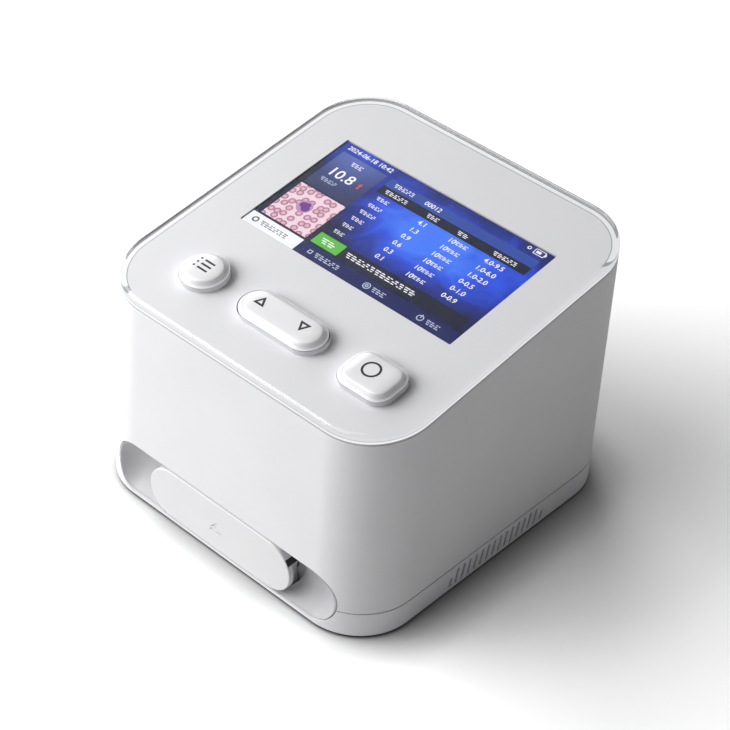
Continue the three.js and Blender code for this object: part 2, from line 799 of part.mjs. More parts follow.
// Drawer front: fills the liner's slot, its face just proud of the wall, with finger room behind its ends

const drawerEdge = 0.5;
const endThick = 2;
const hookRadius = 9.5;
const hookOut = 5;
const hookDrop = 3;
const drawerRadius = recessRadius - fitGap;
const drawerFaceY = recessFaceY - drawerProud;
const drawerBackY = slotBackY - fitGap;
const latchRise = 6.6;
const latchThick = 2;
const latchLong = 6;

const makeDrawerFront = () => {
  const outline = stadiumShape(drawerHalf - drawerEdge, drawerRadius - drawerEdge);
  const bevelled = new THREE.ExtrudeGeometry(outline, {
    depth: drawerEdge,
    bevelThickness: drawerEdge,
    bevelSize: drawerEdge,
    bevelSegments: 3,
    curveSegments: 2 * arcSteps,
  });
  bevelled.rotateX(Math.PI / 2);
  bevelled.translate(drawerX, drawerFaceY + 2 * drawerEdge, recessHeight);
  const block = stadiumAlongY(
    drawerX, recessHeight, drawerHalf, drawerRadius, drawerFaceY + 1.5 * drawerEdge, drawerBackY);
  const holes = [-drawerScrewX, drawerScrewX].map((x) => solid(rodAlongY(
    drawerX + x, drawerScrewHeight, drawerBackY - drawerScrewDeep, slotBackY + overrun,
    drawerScrewRadius + fitGap)));
  const hooks = [-1, 1].map((side) => solid(rodAlongY(
    drawerX + side * (drawerHalf + hookOut), recessHeight - hookDrop, drawerFaceY + endThick,
    drawerBackY + overrun, hookRadius, fineSides)));
  const notch = solid(latchBox(fitGap, drawerBackY + overrun));
  const body = solid(bevelled).add(solid(block));
  return part('drawer_front', cutAll(body, [notch, ...holes, ...hooks]), finishes.whitePlastic);
};

// Latch: a black bar let into the drawer front's right end, just behind its face
const latchBox = (gap, rearY) => {
  const low = recessHeight + latchRise - latchThick;
  const right = drawerX + drawerHalf;
  const frontY = drawerFaceY + drawerEdge;
  return box(
    right - latchLong - gap, right + overrun, frontY - gap, rearY, low - gap, low + latchThick + gap);
};

const makeDrawerLatch = () => {
  const ends = stadiumAlongY(
    drawerX, recessHeight, drawerHalf - seamGap, drawerRadius - seamGap, frontOut, linerBackY);
  const bar = solid(latchBox(0, drawerBackY)).intersect(solid(ends));
  return part('drawer_latch', bar, finishes.blackPlastic);
};

// Drawer tray: slides on side tongues, open on top for the cuvette holder

const makeDrawerTray = () => {
  const frontY = slotBackY;
  const block = solid(box(drawerX - trayHalf, drawerX + trayHalf, frontY, trayRearY, trayLow, trayHigh));
  const tongues = solid(box(
    drawerX - tongueHalf, drawerX + tongueHalf, linerBackY + fitGap, trayRearY, tongueLow, tongueHigh));
  const pocket = box(
    drawerX - trayHalf + trayWall, drawerX + trayHalf - trayWall, frontY + trayWall, trayRearY - trayWall,
    trayLow + trayFloor, trayHigh + overrun);
  const window = rod(drawerX, lightY, trayLow - overrun, trayHigh, lightRadius);
  const holes = [-drawerScrewX, drawerScrewX].map((x) => solid(rodAlongY(
    drawerX + x, drawerScrewHeight, frontY - overrun, frontY + trayWall + overrun,
    drawerScrewRadius + fitGap)));
  const tools = [solid(pocket), solid(window), ...holes];
  return part('drawer_tray', cutAll(block.add(tongues), tools), finishes.whitePlastic);
};

// Cuvette holder: a black insert with a shallow well for the cuvette and a light window

const wellSide = 8.5;
const wellDeep = 4.4;
const wellFront = 3;
const wellRear = 6;
const holderWindow = 4.2;
const wellHalf = holderHalf - wellSide;

const makeCuvetteHolder = () => {
  const low = trayLow + trayFloor + fitGap;
  const frontY = slotBackY + trayWall + holderFrontGap;
  const rearY = trayRearY - trayWall - holderRearGap;
  const block = solid(box(drawerX - holderHalf, drawerX + holderHalf, frontY, rearY, low, holderHigh));
  const well = box(
    drawerX - wellHalf, drawerX + wellHalf, frontY + wellFront, rearY - wellRear, holderHigh - wellDeep,
    holderHigh + overrun);
  const window = rod(drawerX, lightY, low - overrun, holderHigh, holderWindow);
  return part('cuvette_holder', cutAll(block, [solid(well), solid(window)]), finishes.blackPlastic);
};

const makeDrawerScrews = () => {
  const names = ['drawer_screw_left', 'drawer_screw_right'];
  return [-drawerScrewX, drawerScrewX].map((x, i) => {
    const headLow = slotBackY + trayWall + fitGap;
    const tip = slotBackY - drawerScrewDeep;
    const headHigh = headLow + drawerHeadThick;
    const head = solid(rodAlongY(drawerX + x, drawerScrewHeight, headLow, headHigh, drawerHeadRadius));
    const shank = solid(rodAlongY(drawerX + x, drawerScrewHeight, tip, headHigh, drawerScrewRadius));
    return part(names[i], head.add(shank), finishes.steel);
  });
};

// Drawer frame: a folded sheet over the lamp that carries the two rails and the optics

const railWide = 5.9;
const frameSide = 5;
const railIn = trayHalf + fitGap;
const railOut = railIn + railWide;
const frameHalf = railOut + frameSide;
const frameFrontY = linerBackY + fitGap;
const beamRadius = 5.2;

const makeDrawerFrame = () => {
  const low = floorTop + fitGap;
  const outer = solid(box(drawerX - frameHalf, drawerX + frameHalf, frameFrontY, frameRearY, low, frameTop));
  const inside = frameHalf - frameSheet;
  const inner = box(
    drawerX - inside, drawerX + inside, frameFrontY - overrun, frameRearY + overrun,
    low - overrun, frameTop - frameSheet);
  const beam = rod(drawerX, lightY, low, frameTop + overrun, beamRadius);
  return part('drawer_frame', cutAll(outer, [solid(inner), solid(beam)]), finishes.steel);
};

const grooveOut = tongueHalf + fitGap;

const makeRail = (name, side) => {
  const low = frameTop + fitGap;
  const span = (near, far) => {
    const ends = [drawerX + side * near, drawerX + side * far];
    return [Math.min(...ends), Math.max(...ends)];
  };
  const [blockLow, blockHigh] = span(railIn, railOut);
  const [grooveLow, grooveHigh] = span(railIn - overrun, grooveOut);
  const block = solid(box(blockLow, blockHigh, frameFrontY, columnRearY, low, trayHigh));
  const groove = box(
    grooveLow, grooveHigh, frameFrontY - overrun, frameRearY, tongueLow - fitGap, tongueHigh + fitGap);
  return part(name, block.subtract(solid(groove)), finishes.blackPlastic);
};

// Light path: lamp and condenser below the cuvette, objective and camera above it

const lampRadius = 9;
const lampNeck = 6;
const lampNeckThick = 2;
const lensRadius = 4.2;
const lensEdge = 0.8;

const makeLamp = () => {
  const low = floorTop + fitGap;
  const body = solid(rod(drawerX, lightY, low, lampTop - lampNeckThick, lampRadius));
  const neck = solid(rod(drawerX, lightY, low, lampTop, lampNeck));
  return part('lamp_module', body.add(neck), finishes.aluminium);
};

const makeCondenser = () => {
  const profile = [
    new THREE.Vector2(0, 0),
    new THREE.Vector2(lensRadius, 0),
    new THREE.Vector2(lensRadius, lensEdge),
  ];
  const crownSteps = 4;
  const lensCrown = trayLow - lampTop - 2 * fitGap - lensEdge;
  for (let i = 1; i <= crownSteps; i += 1) {
    const angle = (i / crownSteps) * (Math.PI / 2);
    profile.push(new THREE.Vector2(lensRadius * Math.cos(angle), lensEdge + lensCrown * Math.sin(angle)));
  }
  profile[profile.length - 1].x = 0;
  const lens = new THREE.LatheGeometry(profile, roundSides);
  lens.rotateX(Math.PI / 2);
  lens.translate(drawerX, lightY, lampTop + fitGap);
  return part('condenser_lens', solid(lens), finishes.opticGlass);
};

const objectiveGap = 3.4;
const cameraHalf = 16;
const cameraClear = 11.48;
const barrelRadius = 10.8;
const barrelBore = 7;
const barrelFlange = 13;
const barrelFlangeThick = 2.6;
const barrelNose = 8.6;
const barrelNoseLong = 7;
const barrelLow = holderHigh + objectiveGap;
const panelLow = topAt(lightY - cameraHalf) - upright(boardThick - buttonBoardTop);
const barrelHigh = panelLow - cameraClear - boardThick - fitGap;
const barrelNoseTop = barrelLow + barrelNoseLong;
const armDrop = 10;
const armThick = 8;
const armWall = 2.9;
const armHigh = barrelHigh - armDrop;
const armLow = armHigh - armThick;
const armHalf = barrelRadius + fitGap + armWall;
const columnHalf = 12;
const columnOver = 4;
const columnTop = barrelHigh + columnOver;

const makeOpticsColumn = () => {
  const low = frameTop + fitGap;
  const column = solid(box(
    drawerX - columnHalf, drawerX + columnHalf, columnFrontY, columnRearY, low, columnTop));
  const arm = solid(box(
    drawerX - armHalf, drawerX + armHalf, lightY - armHalf, columnFrontY + columnThick / 2, armLow, armHigh));
  const bore = rod(drawerX, lightY, armLow - overrun, armHigh + overrun, barrelRadius + fitGap, fineSides);
  return part('optics_column', column.add(arm).subtract(solid(bore)), finishes.aluminium);
};

const makeBarrel = () => {
  const flangeLow = armHigh + fitGap;
  const body = unite([
    solid(rod(drawerX, lightY, barrelNoseTop, barrelHigh, barrelRadius, fineSides)),
    solid(rod(drawerX, lightY, barrelLow, barrelHigh, barrelNose, fineSides)),
    solid(rod(drawerX, lightY, flangeLow, flangeLow + barrelFlangeThick, barrelFlange, fineSides)),
  ]);
  const bore = solid(rod(drawerX, lightY, barrelLow - overrun, barrelHigh + overrun, barrelBore));
  return part('objective_barrel', body.subtract(bore), finishes.blackPlastic);
};

const objectiveThick = 3;

const makeObjective = () => {
  const low = barrelLow + fitGap;
  const lens = rod(drawerX, lightY, low, low + objectiveThick, barrelBore - fitGap);
  return part('objective_lens', lens, finishes.opticGlass);
};

const sensorHalf = 4;
const sensorThick = 1.5;

const makeCameraBoard = () => {
  const low = barrelHigh + fitGap;
  const sheet = box(-cameraHalf, cameraHalf, -cameraHalf, cameraHalf, low, low + boardThick);
  sheet.translate(drawerX, lightY, 0);
  return part('camera_board', sheet, finishes.board);
};

const makeSensor = () => {
  const chip = box(-sensorHalf, sensorHalf, -sensorHalf, sensorHalf, barrelHigh - sensorThick, barrelHigh);
  chip.translate(drawerX, lightY, 0);
  return part('camera_sensor', chip, finishes.blackPlastic);
};

// Electronics at the rear

const batteryPostGap = 11.5;
const batteryHalf = boardPostX - batteryPostGap;
const batteryInset = 4;
const batteryFrontY = boardFrontY + batteryInset;
const batteryRearY = boardRearY - batteryInset;
const strapWide = 10;
const strapSheet = 1;
const strapFoot = 5;
const chipHalf = 8;
const chipThick = 2;
const radioHalfX = 6;
const radioHalfY = 8;
const boardPartInset = 17;
const chipX = 8;
const chipShift = 6;
const buzzerRadius = 6;
const buzzerHigh = 7;
const radioX = boardHalf - boardPartInset;
const buzzerX = boardPartInset - boardHalf;
const chipY = (boardFrontY + boardRearY) / 2 - chipShift;

const makeMainBoard = () => {
  const low = mainBoardLow;
  const sheet = solid(box(-boardHalf, boardHalf, boardFrontY, boardRearY, low, low + boardThick));
  const holes = boardPostPlaces.map(({ x, y }) =>
    solid(rod(x, y, low - overrun, low + boardThick + overrun, boardScrewRadius + fitGap)));
  return part('main_board', cutAll(sheet, holes), finishes.board);
};

const boardHeadRadius = 2.3;
const boardHeadThick = 1.4;

const makeBoardScrews = () => boardPostPlaces.map(({ name, x, y }) => {
  const headLow = mainBoardLow + boardThick + fitGap;
  const body = screwSolid(x, y, headLow, boardHeadThick, boardScrewLow, boardHeadRadius, boardScrewRadius);
  return part(name, body, finishes.steel);
});

const makeBattery = () => part(
  'battery_pack',
  box(-batteryHalf, batteryHalf, batteryFrontY, batteryRearY, floorTop + fitGap, batteryHigh),
  finishes.battery);

const makeBatteryStrap = () => {
  const middleY = (batteryFrontY + batteryRearY) / 2;
  const lowY = middleY - strapWide / 2;
  const highY = middleY + strapWide / 2;
  const inner = batteryHalf + fitGap;
  const outer = inner + strapSheet;
  const low = floorTop + fitGap;
  const top = batteryHigh + fitGap;
  const body = unite([
    solid(box(-outer, outer, lowY, highY, top, top + strapSheet)),
    solid(box(-outer, -inner, lowY, highY, low, top + strapSheet)),
    solid(box(inner, outer, lowY, highY, low, top + strapSheet)),
    solid(box(-outer - strapFoot, -inner, lowY, highY, low, low + strapSheet)),
    solid(box(inner, outer + strapFoot, lowY, highY, low, low + strapSheet)),
  ]);
  return part('battery_strap', body, finishes.steel);
};

const boardPart = (name, lowX, highX, lowY, highY, high, finish) => {
  const low = mainBoardLow + boardThick + fitGap;
  return part(name, box(lowX, highX, lowY, highY, low, low + high), finish);
};

const jackDeep = 14;
const jackBore = 3.3;
const jackPin = 1;
const jackBoreDeep = 9.5;
const usbDeep = 9;
const usbMouthHalf = 4.4;
const usbMouthHalfHigh = 1.5;
const usbMouthDeep = 7;

// The rear wall's outside at the height of a socket
const rearAt = (height) => halfDeep + draftDeep * (1 - height / (topMidHeight - seamDrop));

const makeDcJack = () => {
  const low = mainBoardLow + boardThick + fitGap;
  const middle = low + jackHeight / 2;
  const rear = rearAt(middle) - seamGap;
  const bottom = rear - jackBoreDeep;
  const block = solid(box(
    socketX - jackHalf, socketX + jackHalf, rear - jackDeep, rear, low, low + jackHeight));
  const bore = solid(rodAlongY(socketX, middle, bottom, rear + overrun, jackBore));
  const pin = solid(rodAlongY(socketX, middle, bottom - seamGap, rear - seamGap, jackPin, 2 * arcSteps));
  return part('dc_jack', block.subtract(bore).add(pin), finishes.blackPlastic);
};

const makeUsbSocket = () => {
  const low = mainBoardLow + boardThick + fitGap;
  const middle = low + usbHeight / 2;
  const rear = rearAt(middle) - seamGap;
  const block = solid(box(usbX - usbHalf, usbX + usbHalf, rear - usbDeep, rear, low, low + usbHeight));
  const mouth = solid(box(
    usbX - usbMouthHalf, usbX + usbMouthHalf, rear - usbMouthDeep, rear + overrun,
    middle - usbMouthHalfHigh, middle + usbMouthHalfHigh));
  return part('usb_socket', block.subtract(mouth), finishes.steel);
};

const makeBoardParts = () => {
  const low = mainBoardLow + boardThick + fitGap;
  return [
    boardPart('processor', chipX - chipHalf, chipX + chipHalf, chipY - chipHalf, chipY + chipHalf, chipThick,
      finishes.blackPlastic),
    boardPart(
      'radio_module', radioX - radioHalfX, radioX + radioHalfX, chipY - radioHalfY, chipY + radioHalfY,
      chipThick, finishes.steel),
    part('buzzer', rod(buzzerX, chipY, low, low + buzzerHigh, buzzerRadius), finishes.blackPlastic),
    makeDcJack(),
    makeUsbSocket(),
  ];
};

// Assembly

const analyzer = new THREE.Group();

const panel = new THREE.Group();
panel.position.z = topMidHeight;
panel.rotation.x = topTilt;
panel.add(
  makeScreen(),
  makeScreenBracket(),
  makeMenuButton(),
  makeRocker(),
  makeConfirmButton(),
  makeRockerCradle(),
  makeRockerPin(),
  makeButtonBoard(),
  ...makeSwitches(),
  ...makePanelScrews(),
);

analyzer.add(
  makeBaseShell(),
  makeMainShell(),
  makeDeckPlate(),
  makeClearCover(),
  panel,
  ...makeFeet(),
  ...makeCaseScrews(),
  makeRecessLiner(),
  makeDrawerFront(),
  makeDrawerLatch(),
  makeDrawerTray(),
  makeCuvetteHolder(),
  ...makeDrawerScrews(),
  makeDrawerFrame(),
  makeRail('left_rail', -1),
  makeRail('right_rail', 1),
  makeLamp(),
  makeCondenser(),
  makeOpticsColumn(),
  makeBarrel(),
  makeObjective(),
  makeCameraBoard(),
  makeSensor(),
  makeBattery(),
  makeBatteryStrap(),
  makeMainBoard(),
  ...makeBoardScrews(),
  ...makeBoardParts(),
);

export default analyzer;
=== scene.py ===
import math
import bpy
import bmesh
from mathutils import Matrix, Vector


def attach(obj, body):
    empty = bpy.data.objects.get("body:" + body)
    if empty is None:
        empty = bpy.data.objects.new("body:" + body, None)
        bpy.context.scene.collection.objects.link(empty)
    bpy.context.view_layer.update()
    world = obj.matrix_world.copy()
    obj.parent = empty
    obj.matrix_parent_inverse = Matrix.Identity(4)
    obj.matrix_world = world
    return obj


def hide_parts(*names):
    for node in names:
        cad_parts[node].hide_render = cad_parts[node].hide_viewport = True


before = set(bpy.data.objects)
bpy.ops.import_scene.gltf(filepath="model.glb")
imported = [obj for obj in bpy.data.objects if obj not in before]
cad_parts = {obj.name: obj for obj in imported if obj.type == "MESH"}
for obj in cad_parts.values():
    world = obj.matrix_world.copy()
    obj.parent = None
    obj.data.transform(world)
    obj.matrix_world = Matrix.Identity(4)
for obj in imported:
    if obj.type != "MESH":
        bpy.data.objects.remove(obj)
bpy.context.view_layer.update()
mm = 0.001

# the body that everything sits on, as the CAD has it (millimetres, degrees)
body = {
    "halfWide": 65.5,
    "halfDeep": 66.3,
    "corner": 22.8,
    "cornerSteps": 22,
    "draftWide": 1.2,
    "draftDeep": 2.35,
    "wall": 2.4,
    "topMid": 96.6,
    "tilt": 9.0,
    "seamDrop": 4.0,
    "parting": 11.0,
    "partingGap": 0.3,
    "bottom": 1.0,
    "fitGap": 0.3,
}
slopeRise = math.tan(math.radians(body["tilt"]))
slopeCos = math.cos(math.radians(body["tilt"]))
slope = Matrix.Translation((0, 0, body["topMid"])) @ Matrix.Rotation(math.radians(body["tilt"]), 4, "X")
sheared = Matrix(((1, 0, 0, 0), (0, 1, 0, 0), (0, slopeRise, 1 / slopeCos, body["topMid"]), (0, 0, 0, 1)))


def slopeAt(y, drop):  # height of the sloped top at a depth under the cover's face
    return body["topMid"] + y * slopeRise - drop / slopeCos


def draftAt(height):  # how far the walls have leaned out at a height, as a share
    return 1 - height / (body["topMid"] - body["seamDrop"])


def wallFront(height):  # the front wall's face
    return -body["halfDeep"] - body["draftDeep"] * draftAt(height)


def clampOne(value):
    return max(-1.0, min(1.0, value))


def leanWalls(bm, shareAt):
    # moves an upright block's walls out to the moulding draft
    straightX = body["halfWide"] - body["corner"]
    straightY = body["halfDeep"] - body["corner"]
    for vert in bm.verts:
        share = shareAt(vert.co)
        vert.co.x += clampOne(vert.co.x / straightX) * body["draftWide"] * share
        vert.co.y += clampOne(vert.co.y / straightY) * body["draftDeep"] * share


def roundedFace(bm, halfX, halfY, radius, segments, height=0.0):
    verts = bmesh.ops.create_grid(bm, x_segments=1, y_segments=1, size=1.0)["verts"]
    bmesh.ops.scale(bm, vec=(halfX, halfY, 1), verts=verts)
    bmesh.ops.translate(bm, vec=(0, 0, height), verts=verts)
    face = verts[0].link_faces[0]
    if radius > 0:
        before = set(bm.faces) - {face}
        bmesh.ops.bevel(
            bm, geom=list(face.verts), offset=min(radius, halfX * 0.9999, halfY * 0.9999), offset_type="OFFSET",
            segments=segments, profile=0.5, affect="VERTICES", material=-1, clamp_overlap=True)
        face = max((f for f in bm.faces if f not in before), key=lambda f: f.calc_area())
        # where two arcs meet end to end, their ends are one point
        bmesh.ops.remove_doubles(bm, verts=list(face.verts), dist=0.002 * max(halfX, halfY))
        face = max((f for f in bm.faces if f not in before), key=lambda f: f.calc_area())
    return face


def raiseFace(bm, face, height):
    onSolid = any(len(edge.link_faces) > 1 for edge in face.edges)
    made = bmesh.ops.extrude_face_region(bm, geom=[face])
    if onSolid:  # a lone outline stays as the bottom
        bmesh.ops.delete(bm, geom=[face], context="FACES_ONLY")
    verts = [g for g in made["geom"] if isinstance(g, bmesh.types.BMVert)]
    bmesh.ops.translate(bm, vec=(0, 0, height), verts=verts)
    top = [g for g in made["geom"] if isinstance(g, bmesh.types.BMFace)][0]
    return top, verts


def roundEdges(bm, edges, size, segments):
    if size > 0 and edges:
        bmesh.ops.bevel(
            bm, geom=edges, offset=size, offset_type="OFFSET", segments=segments, profile=0.5,
            affect="EDGES", material=-1, clamp_overlap=True)


def roundRim(bm, level, size, segments):
    rim = [e for e in bm.edges if all(abs(v.co.z - level) < 1e-4 for v in e.verts)]
    roundEdges(bm, rim, size, segments)


def block(
        halfX, halfY, radius, segments, low, high, topEdge=0.0, lowEdge=0.0, edgeSegments=4, middle=(0, 0)):
    bm = bmesh.new()
    face = roundedFace(bm, halfX, halfY, radius, segments, low)
    raiseFace(bm, face, high - low)
    bmesh.ops.recalc_face_normals(bm, faces=bm.faces)
    roundRim(bm, high, topEdge, edgeSegments)
    roundRim(bm, low, lowEdge, edgeSegments)
    return moved(bm, *middle)


def bodyBlock(inset, low, high, topEdge=0.0, lowEdge=0.0, edgeSegments=4):
    # a block with the body's outline, set in
    return block(
        body["halfWide"] - inset, body["halfDeep"] - inset, body["corner"] - inset, body["cornerSteps"],
        low, high, topEdge, lowEdge, edgeSegments)


def disc(radius, low, high, segments=48, topEdge=0.0, lowEdge=0.0, middle=(0, 0)):
    bm = bmesh.new()
    bmesh.ops.create_cone(
        bm, cap_ends=True, cap_tris=False, segments=segments, radius1=radius, radius2=radius, depth=high - low)
    moved(bm, 0, 0, (low + high) / 2)
    roundRim(bm, high, topEdge, 3)
    roundRim(bm, low, lowEdge, 3)
    return moved(bm, *middle)


def bar(lowX, highX, lowY, highY, lowZ, highZ):
    return block(
        (highX - lowX) / 2, (highY - lowY) / 2, 0, 1, lowZ, highZ,
        middle=((lowX + highX) / 2, (lowY + highY) / 2))


def moved(bm, x, y, z=0.0):
    bmesh.ops.translate(bm, vec=(x, y, z), verts=bm.verts)
    return bm


def placed(bm, matrix):
    bmesh.ops.transform(bm, matrix=matrix, verts=bm.verts)
    return bm


def facingFront(bm, x, height):
    # a block made lying down, with its top towards the front
    return placed(bm, Matrix.Translation((x, 0, height)) @ Matrix.Rotation(math.radians(90), 4, "X"))


def addObject(name, data):
    thing = bpy.data.objects.new(name, data)
    bpy.context.scene.collection.objects.link(thing)
    return thing


def together(pieces):
    bm = bmesh.new()
    for piece in pieces:
        spare = bpy.data.meshes.new("spare")
        piece.to_mesh(spare)
        piece.free()
        bm.from_mesh(spare)
        bpy.data.meshes.remove(spare)
    return bm


def evaluatedMesh(thing):
    bpy.context.view_layer.update()
    return bpy.data.meshes.new_from_object(thing.evaluated_get(bpy.context.evaluated_depsgraph_get()))


def cutBy(bm, cutters, mode="DIFFERENCE"):
    # a boolean through throw-away objects, in millimetres
    holder = addObject("cutWork", bpy.data.meshes.new("cutWork"))
    bmesh.ops.recalc_face_normals(bm, faces=bm.faces)
    bm.to_mesh(holder.data)
    bm.free()
    tools = []
    for cutter in cutters:
        tool = addObject("cutTool", bpy.data.meshes.new("cutTool"))
        bmesh.ops.recalc_face_normals(cutter, faces=cutter.faces)
        cutter.to_mesh(tool.data)
        cutter.free()
        step = holder.modifiers.new("cut", "BOOLEAN")
        step.operation = mode
        step.solver = "EXACT"
        step.object = tool
        tools.append(tool)
    done = evaluatedMesh(holder)
    result = bmesh.new()
    result.from_mesh(done)
    for thing in tools + [holder]:
        data = thing.data
        bpy.data.objects.remove(thing)
        bpy.data.meshes.remove(data)
    bpy.data.meshes.remove(done)
    bmesh.ops.remove_doubles(result, verts=result.verts, dist=1e-4)
    bmesh.ops.dissolve_limit(
        result, angle_limit=math.radians(0.05), use_dissolve_boundaries=False,
        verts=result.verts, edges=result.edges, delimit={"MATERIAL"})
    return result


def finishPiece(name, bm, materials, bodyName, replaced=(), matrix=None, sharp=32.0, weighted=True):
    # from millimetres to a linked object that rides on its body
    if matrix is not None:
        placed(bm, matrix)
    bmesh.ops.scale(bm, vec=(mm, mm, mm), verts=bm.verts)
    bmesh.ops.remove_doubles(bm, verts=bm.verts, dist=1e-7)
    mesh = bpy.data.meshes.new(name)
    bm.to_mesh(mesh)
    bm.free()
    for material in materials:
        mesh.materials.append(material)
    mesh.shade_smooth()
    mesh.set_sharp_from_angle(angle=math.radians(sharp))
    piece = addObject(name, mesh)
    if weighted:
        even = piece.modifiers.new("evenNormals", "WEIGHTED_NORMAL")
        even.keep_sharp = True
        even.weight = 60
    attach(piece, bodyName)
    if replaced:
        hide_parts(*replaced)
    return piece


print("helpers ready")


def feed(node, values):
    # sets inputs by name or number, each to a constant or to another node's output
    for label, value in values.items():
        socket = node.inputs[label]
        if isinstance(value, bpy.types.NodeSocket):
            socket.id_data.links.new(value, socket)
        else:
            socket.default_value = value


def addNode(tree, kind, values=None, **settings):
    node = tree.nodes.new("ShaderNode" + kind)
    for label, value in settings.items():
        setattr(node, label, value)
    feed(node, values or {})
    return node


def objectPlace(tree):
    return addNode(tree, "TexCoord").outputs["Object"]


def newGroup(name, scales):
    # a shared shader group with scales to set, which puts out a height and a tone
    tree = bpy.data.node_groups.new(name, "ShaderNodeTree")
    for label, value in scales.items():
        tree.interface.new_socket(label, in_out="INPUT", socket_type="NodeSocketFloat").default_value = value
    for label in ("Height", "Tone"):
        tree.interface.new_socket(label, in_out="OUTPUT", socket_type="NodeSocketFloat")
    return tree, tree.nodes.new("NodeGroupInput").outputs, tree.nodes.new("NodeGroupOutput")


def makeMouldedGrain():
    # fine spark-eroded skin of moulded plastic, and a slow unevenness of its tone
    tree, scales, result = newGroup("mouldedGrain", {"Grain Scale": 2600.0, "Tone Scale": 40.0})
    place = objectPlace(tree)
    skin = addNode(tree, "TexNoise", {
        "Vector": place, "Scale": scales["Grain Scale"], "Detail": 3.0, "Roughness": 0.6})
    slow = addNode(tree, "TexNoise", {"Vector": place, "Scale": scales["Tone Scale"], "Detail": 4.0})
    feed(result, {"Height": skin.outputs["Fac"], "Tone": slow.outputs["Fac"]})
    return tree


def makeBrushedLines():
    # long fine scratches along one direction, as on rolled or turned metal
    tree, scales, result = newGroup("brushedLines", {"Line Scale": 900.0})
    place = objectPlace(tree)
    stretch = addNode(tree, "Mapping", {"Vector": place, "Scale": (0.04, 1.0, 1.0)})
    lines = addNode(tree, "TexNoise", {
        "Vector": stretch.outputs["Vector"], "Scale": scales["Line Scale"], "Detail": 5.0})
    slow = addNode(tree, "TexNoise", {"Vector": place, "Scale": 90.0})
    feed(result, {"Height": lines.outputs["Fac"], "Tone": slow.outputs["Fac"]})
    return tree


mouldedGrain = makeMouldedGrain()
brushedLines = makeBrushedLines()


def linear(colour):  # display colour 0-255 to scene-linear
    def one(value):
        value /= 255
        return value / 12.92 if value <= 0.04045 else ((value + 0.055) / 1.055) ** 2.4
    return tuple(one(value) for value in colour) + (1.0,)


def startMaterial(name, values):
    # a new material, its tree, and its Principled shader with the constants set
    material = bpy.data.materials.new(name)
    material.use_nodes = True
    shader = material.node_tree.nodes["Principled BSDF"]
    feed(shader, values)
    return material, material.node_tree, shader


def calc(tree, operation, *values):
    return addNode(tree, "Math", dict(enumerate(values)), operation=operation).outputs["Value"]


def mixed(tree, share, first, second):
    mix = addNode(tree, "Mix", {"Factor": share, "A": first, "B": second}, data_type="RGBA")
    return mix.outputs["Result"]


def mixShaders(tree, share, first, second):
    mix = addNode(tree, "MixShader", {"Fac": share, 1: first.outputs["BSDF"], 2: second.outputs["BSDF"]})
    feed(tree.nodes["Material Output"], {"Surface": mix.outputs["Shader"]})


def toneOf(tree, scale):
    return addNode(tree, "Group", {"Tone Scale": scale}, node_tree=mouldedGrain).outputs["Tone"]


def textured(name, light, dark, group, scales, rough, spread, bump, depth, **sockets):
    # a Principled finish whose tone, roughness and skin come from one of the groups
    material, tree, shader = startMaterial(
        name, {label.replace("_", " "): value for label, value in sockets.items()})
    detail = addNode(tree, "Group", dict(enumerate(scales)), node_tree=group)
    tone = {"Value": detail.outputs["Tone"], "From Min": 0.3, "From Max": 0.7}
    share = addNode(tree, "MapRange", tone)
    gloss = addNode(tree, "MapRange", {**tone, "To Min": rough + spread, "To Max": rough - spread})
    relief = addNode(tree, "Bump", {"Strength": bump, "Distance": depth, "Height": detail.outputs["Height"]})
    feed(shader, {
        "Base Color": mixed(tree, share.outputs["Result"], linear(dark), linear(light)),
        "Roughness": gloss.outputs["Result"], "Normal": relief.outputs["Normal"]})
    return material


# finishes: light and dark tone, group and its scales, roughness and its spread, bump and its depth
shellWhite = textured(
    "shellWhite", (225, 225, 227), (221, 221, 223), mouldedGrain, (2600, 30), 0.42, 0.03, 0.12, 0.00004)
# the shell's white plastic made darker, to paint the shade inside the recess and its finger bowls
linerWhiteWithPaintedShade = textured(
    "linerWhiteWithPaintedShade", (188, 188, 191), (183, 183, 186), mouldedGrain, (2600, 30), 0.46, 0.03, 0.14, 0.00004)
drawerWhite = textured(
    "drawerWhite", (221, 220, 221), (217, 216, 218), mouldedGrain, (2600, 30), 0.36, 0.03, 0.10, 0.00004)
deckWhite = textured(
    "deckWhite", (234, 234, 236), (230, 230, 233), mouldedGrain, (1200, 22), 0.34, 0.04, 0.04, 0.00003)
coverPrint = textured(
    "coverPrint", (224, 224, 226), (221, 221, 224), mouldedGrain, (900, 18), 0.5, 0.04, 0.02, 0.00001)
rimPrint = textured(
    "rimPrint", (244, 244, 246), (241, 241, 244), mouldedGrain, (900, 18), 0.5, 0.04, 0.02, 0.00001)
# grey print under the clear plate that paints the shadow in the seam and in the gap at the deck's edge
rimPaintedShadow = textured(
    "rimPaintedShadow", (160, 160, 163), (152, 152, 156), mouldedGrain, (900, 18), 0.5, 0.04, 0.02, 0.00001)
keyWhite = textured(
    "keyWhite", (234, 234, 235), (231, 231, 233), mouldedGrain, (1600, 60), 0.22, 0.03, 0.03, 0.00002,
    Coat_Weight=0.4, Coat_Roughness=0.08)
markGrey = textured(
    "markGrey", (36, 37, 40), (29, 30, 33), mouldedGrain, (3000, 200), 0.5, 0.05, 0.08, 0.00002)
blackPlastic = textured(
    "blackPlastic", (34, 34, 37), (24, 24, 26), mouldedGrain, (1800, 80), 0.48, 0.06, 0.25, 0.00005)
footRubber = textured(
    "footRubber", (62, 62, 65), (48, 48, 50), mouldedGrain, (900, 120), 0.82, 0.05, 0.4, 0.0001)
brushedSteel = textured(
    "brushedSteel", (196, 198, 202), (176, 178, 183), brushedLines, (1400,), 0.32, 0.07, 0.2, 0.00002,
    Metallic=1.0)
satinAluminium = textured(
    "satinAluminium", (206, 208, 212), (190, 192, 197), brushedLines, (2200,), 0.4, 0.06, 0.15, 0.00002,
    Metallic=1.0)
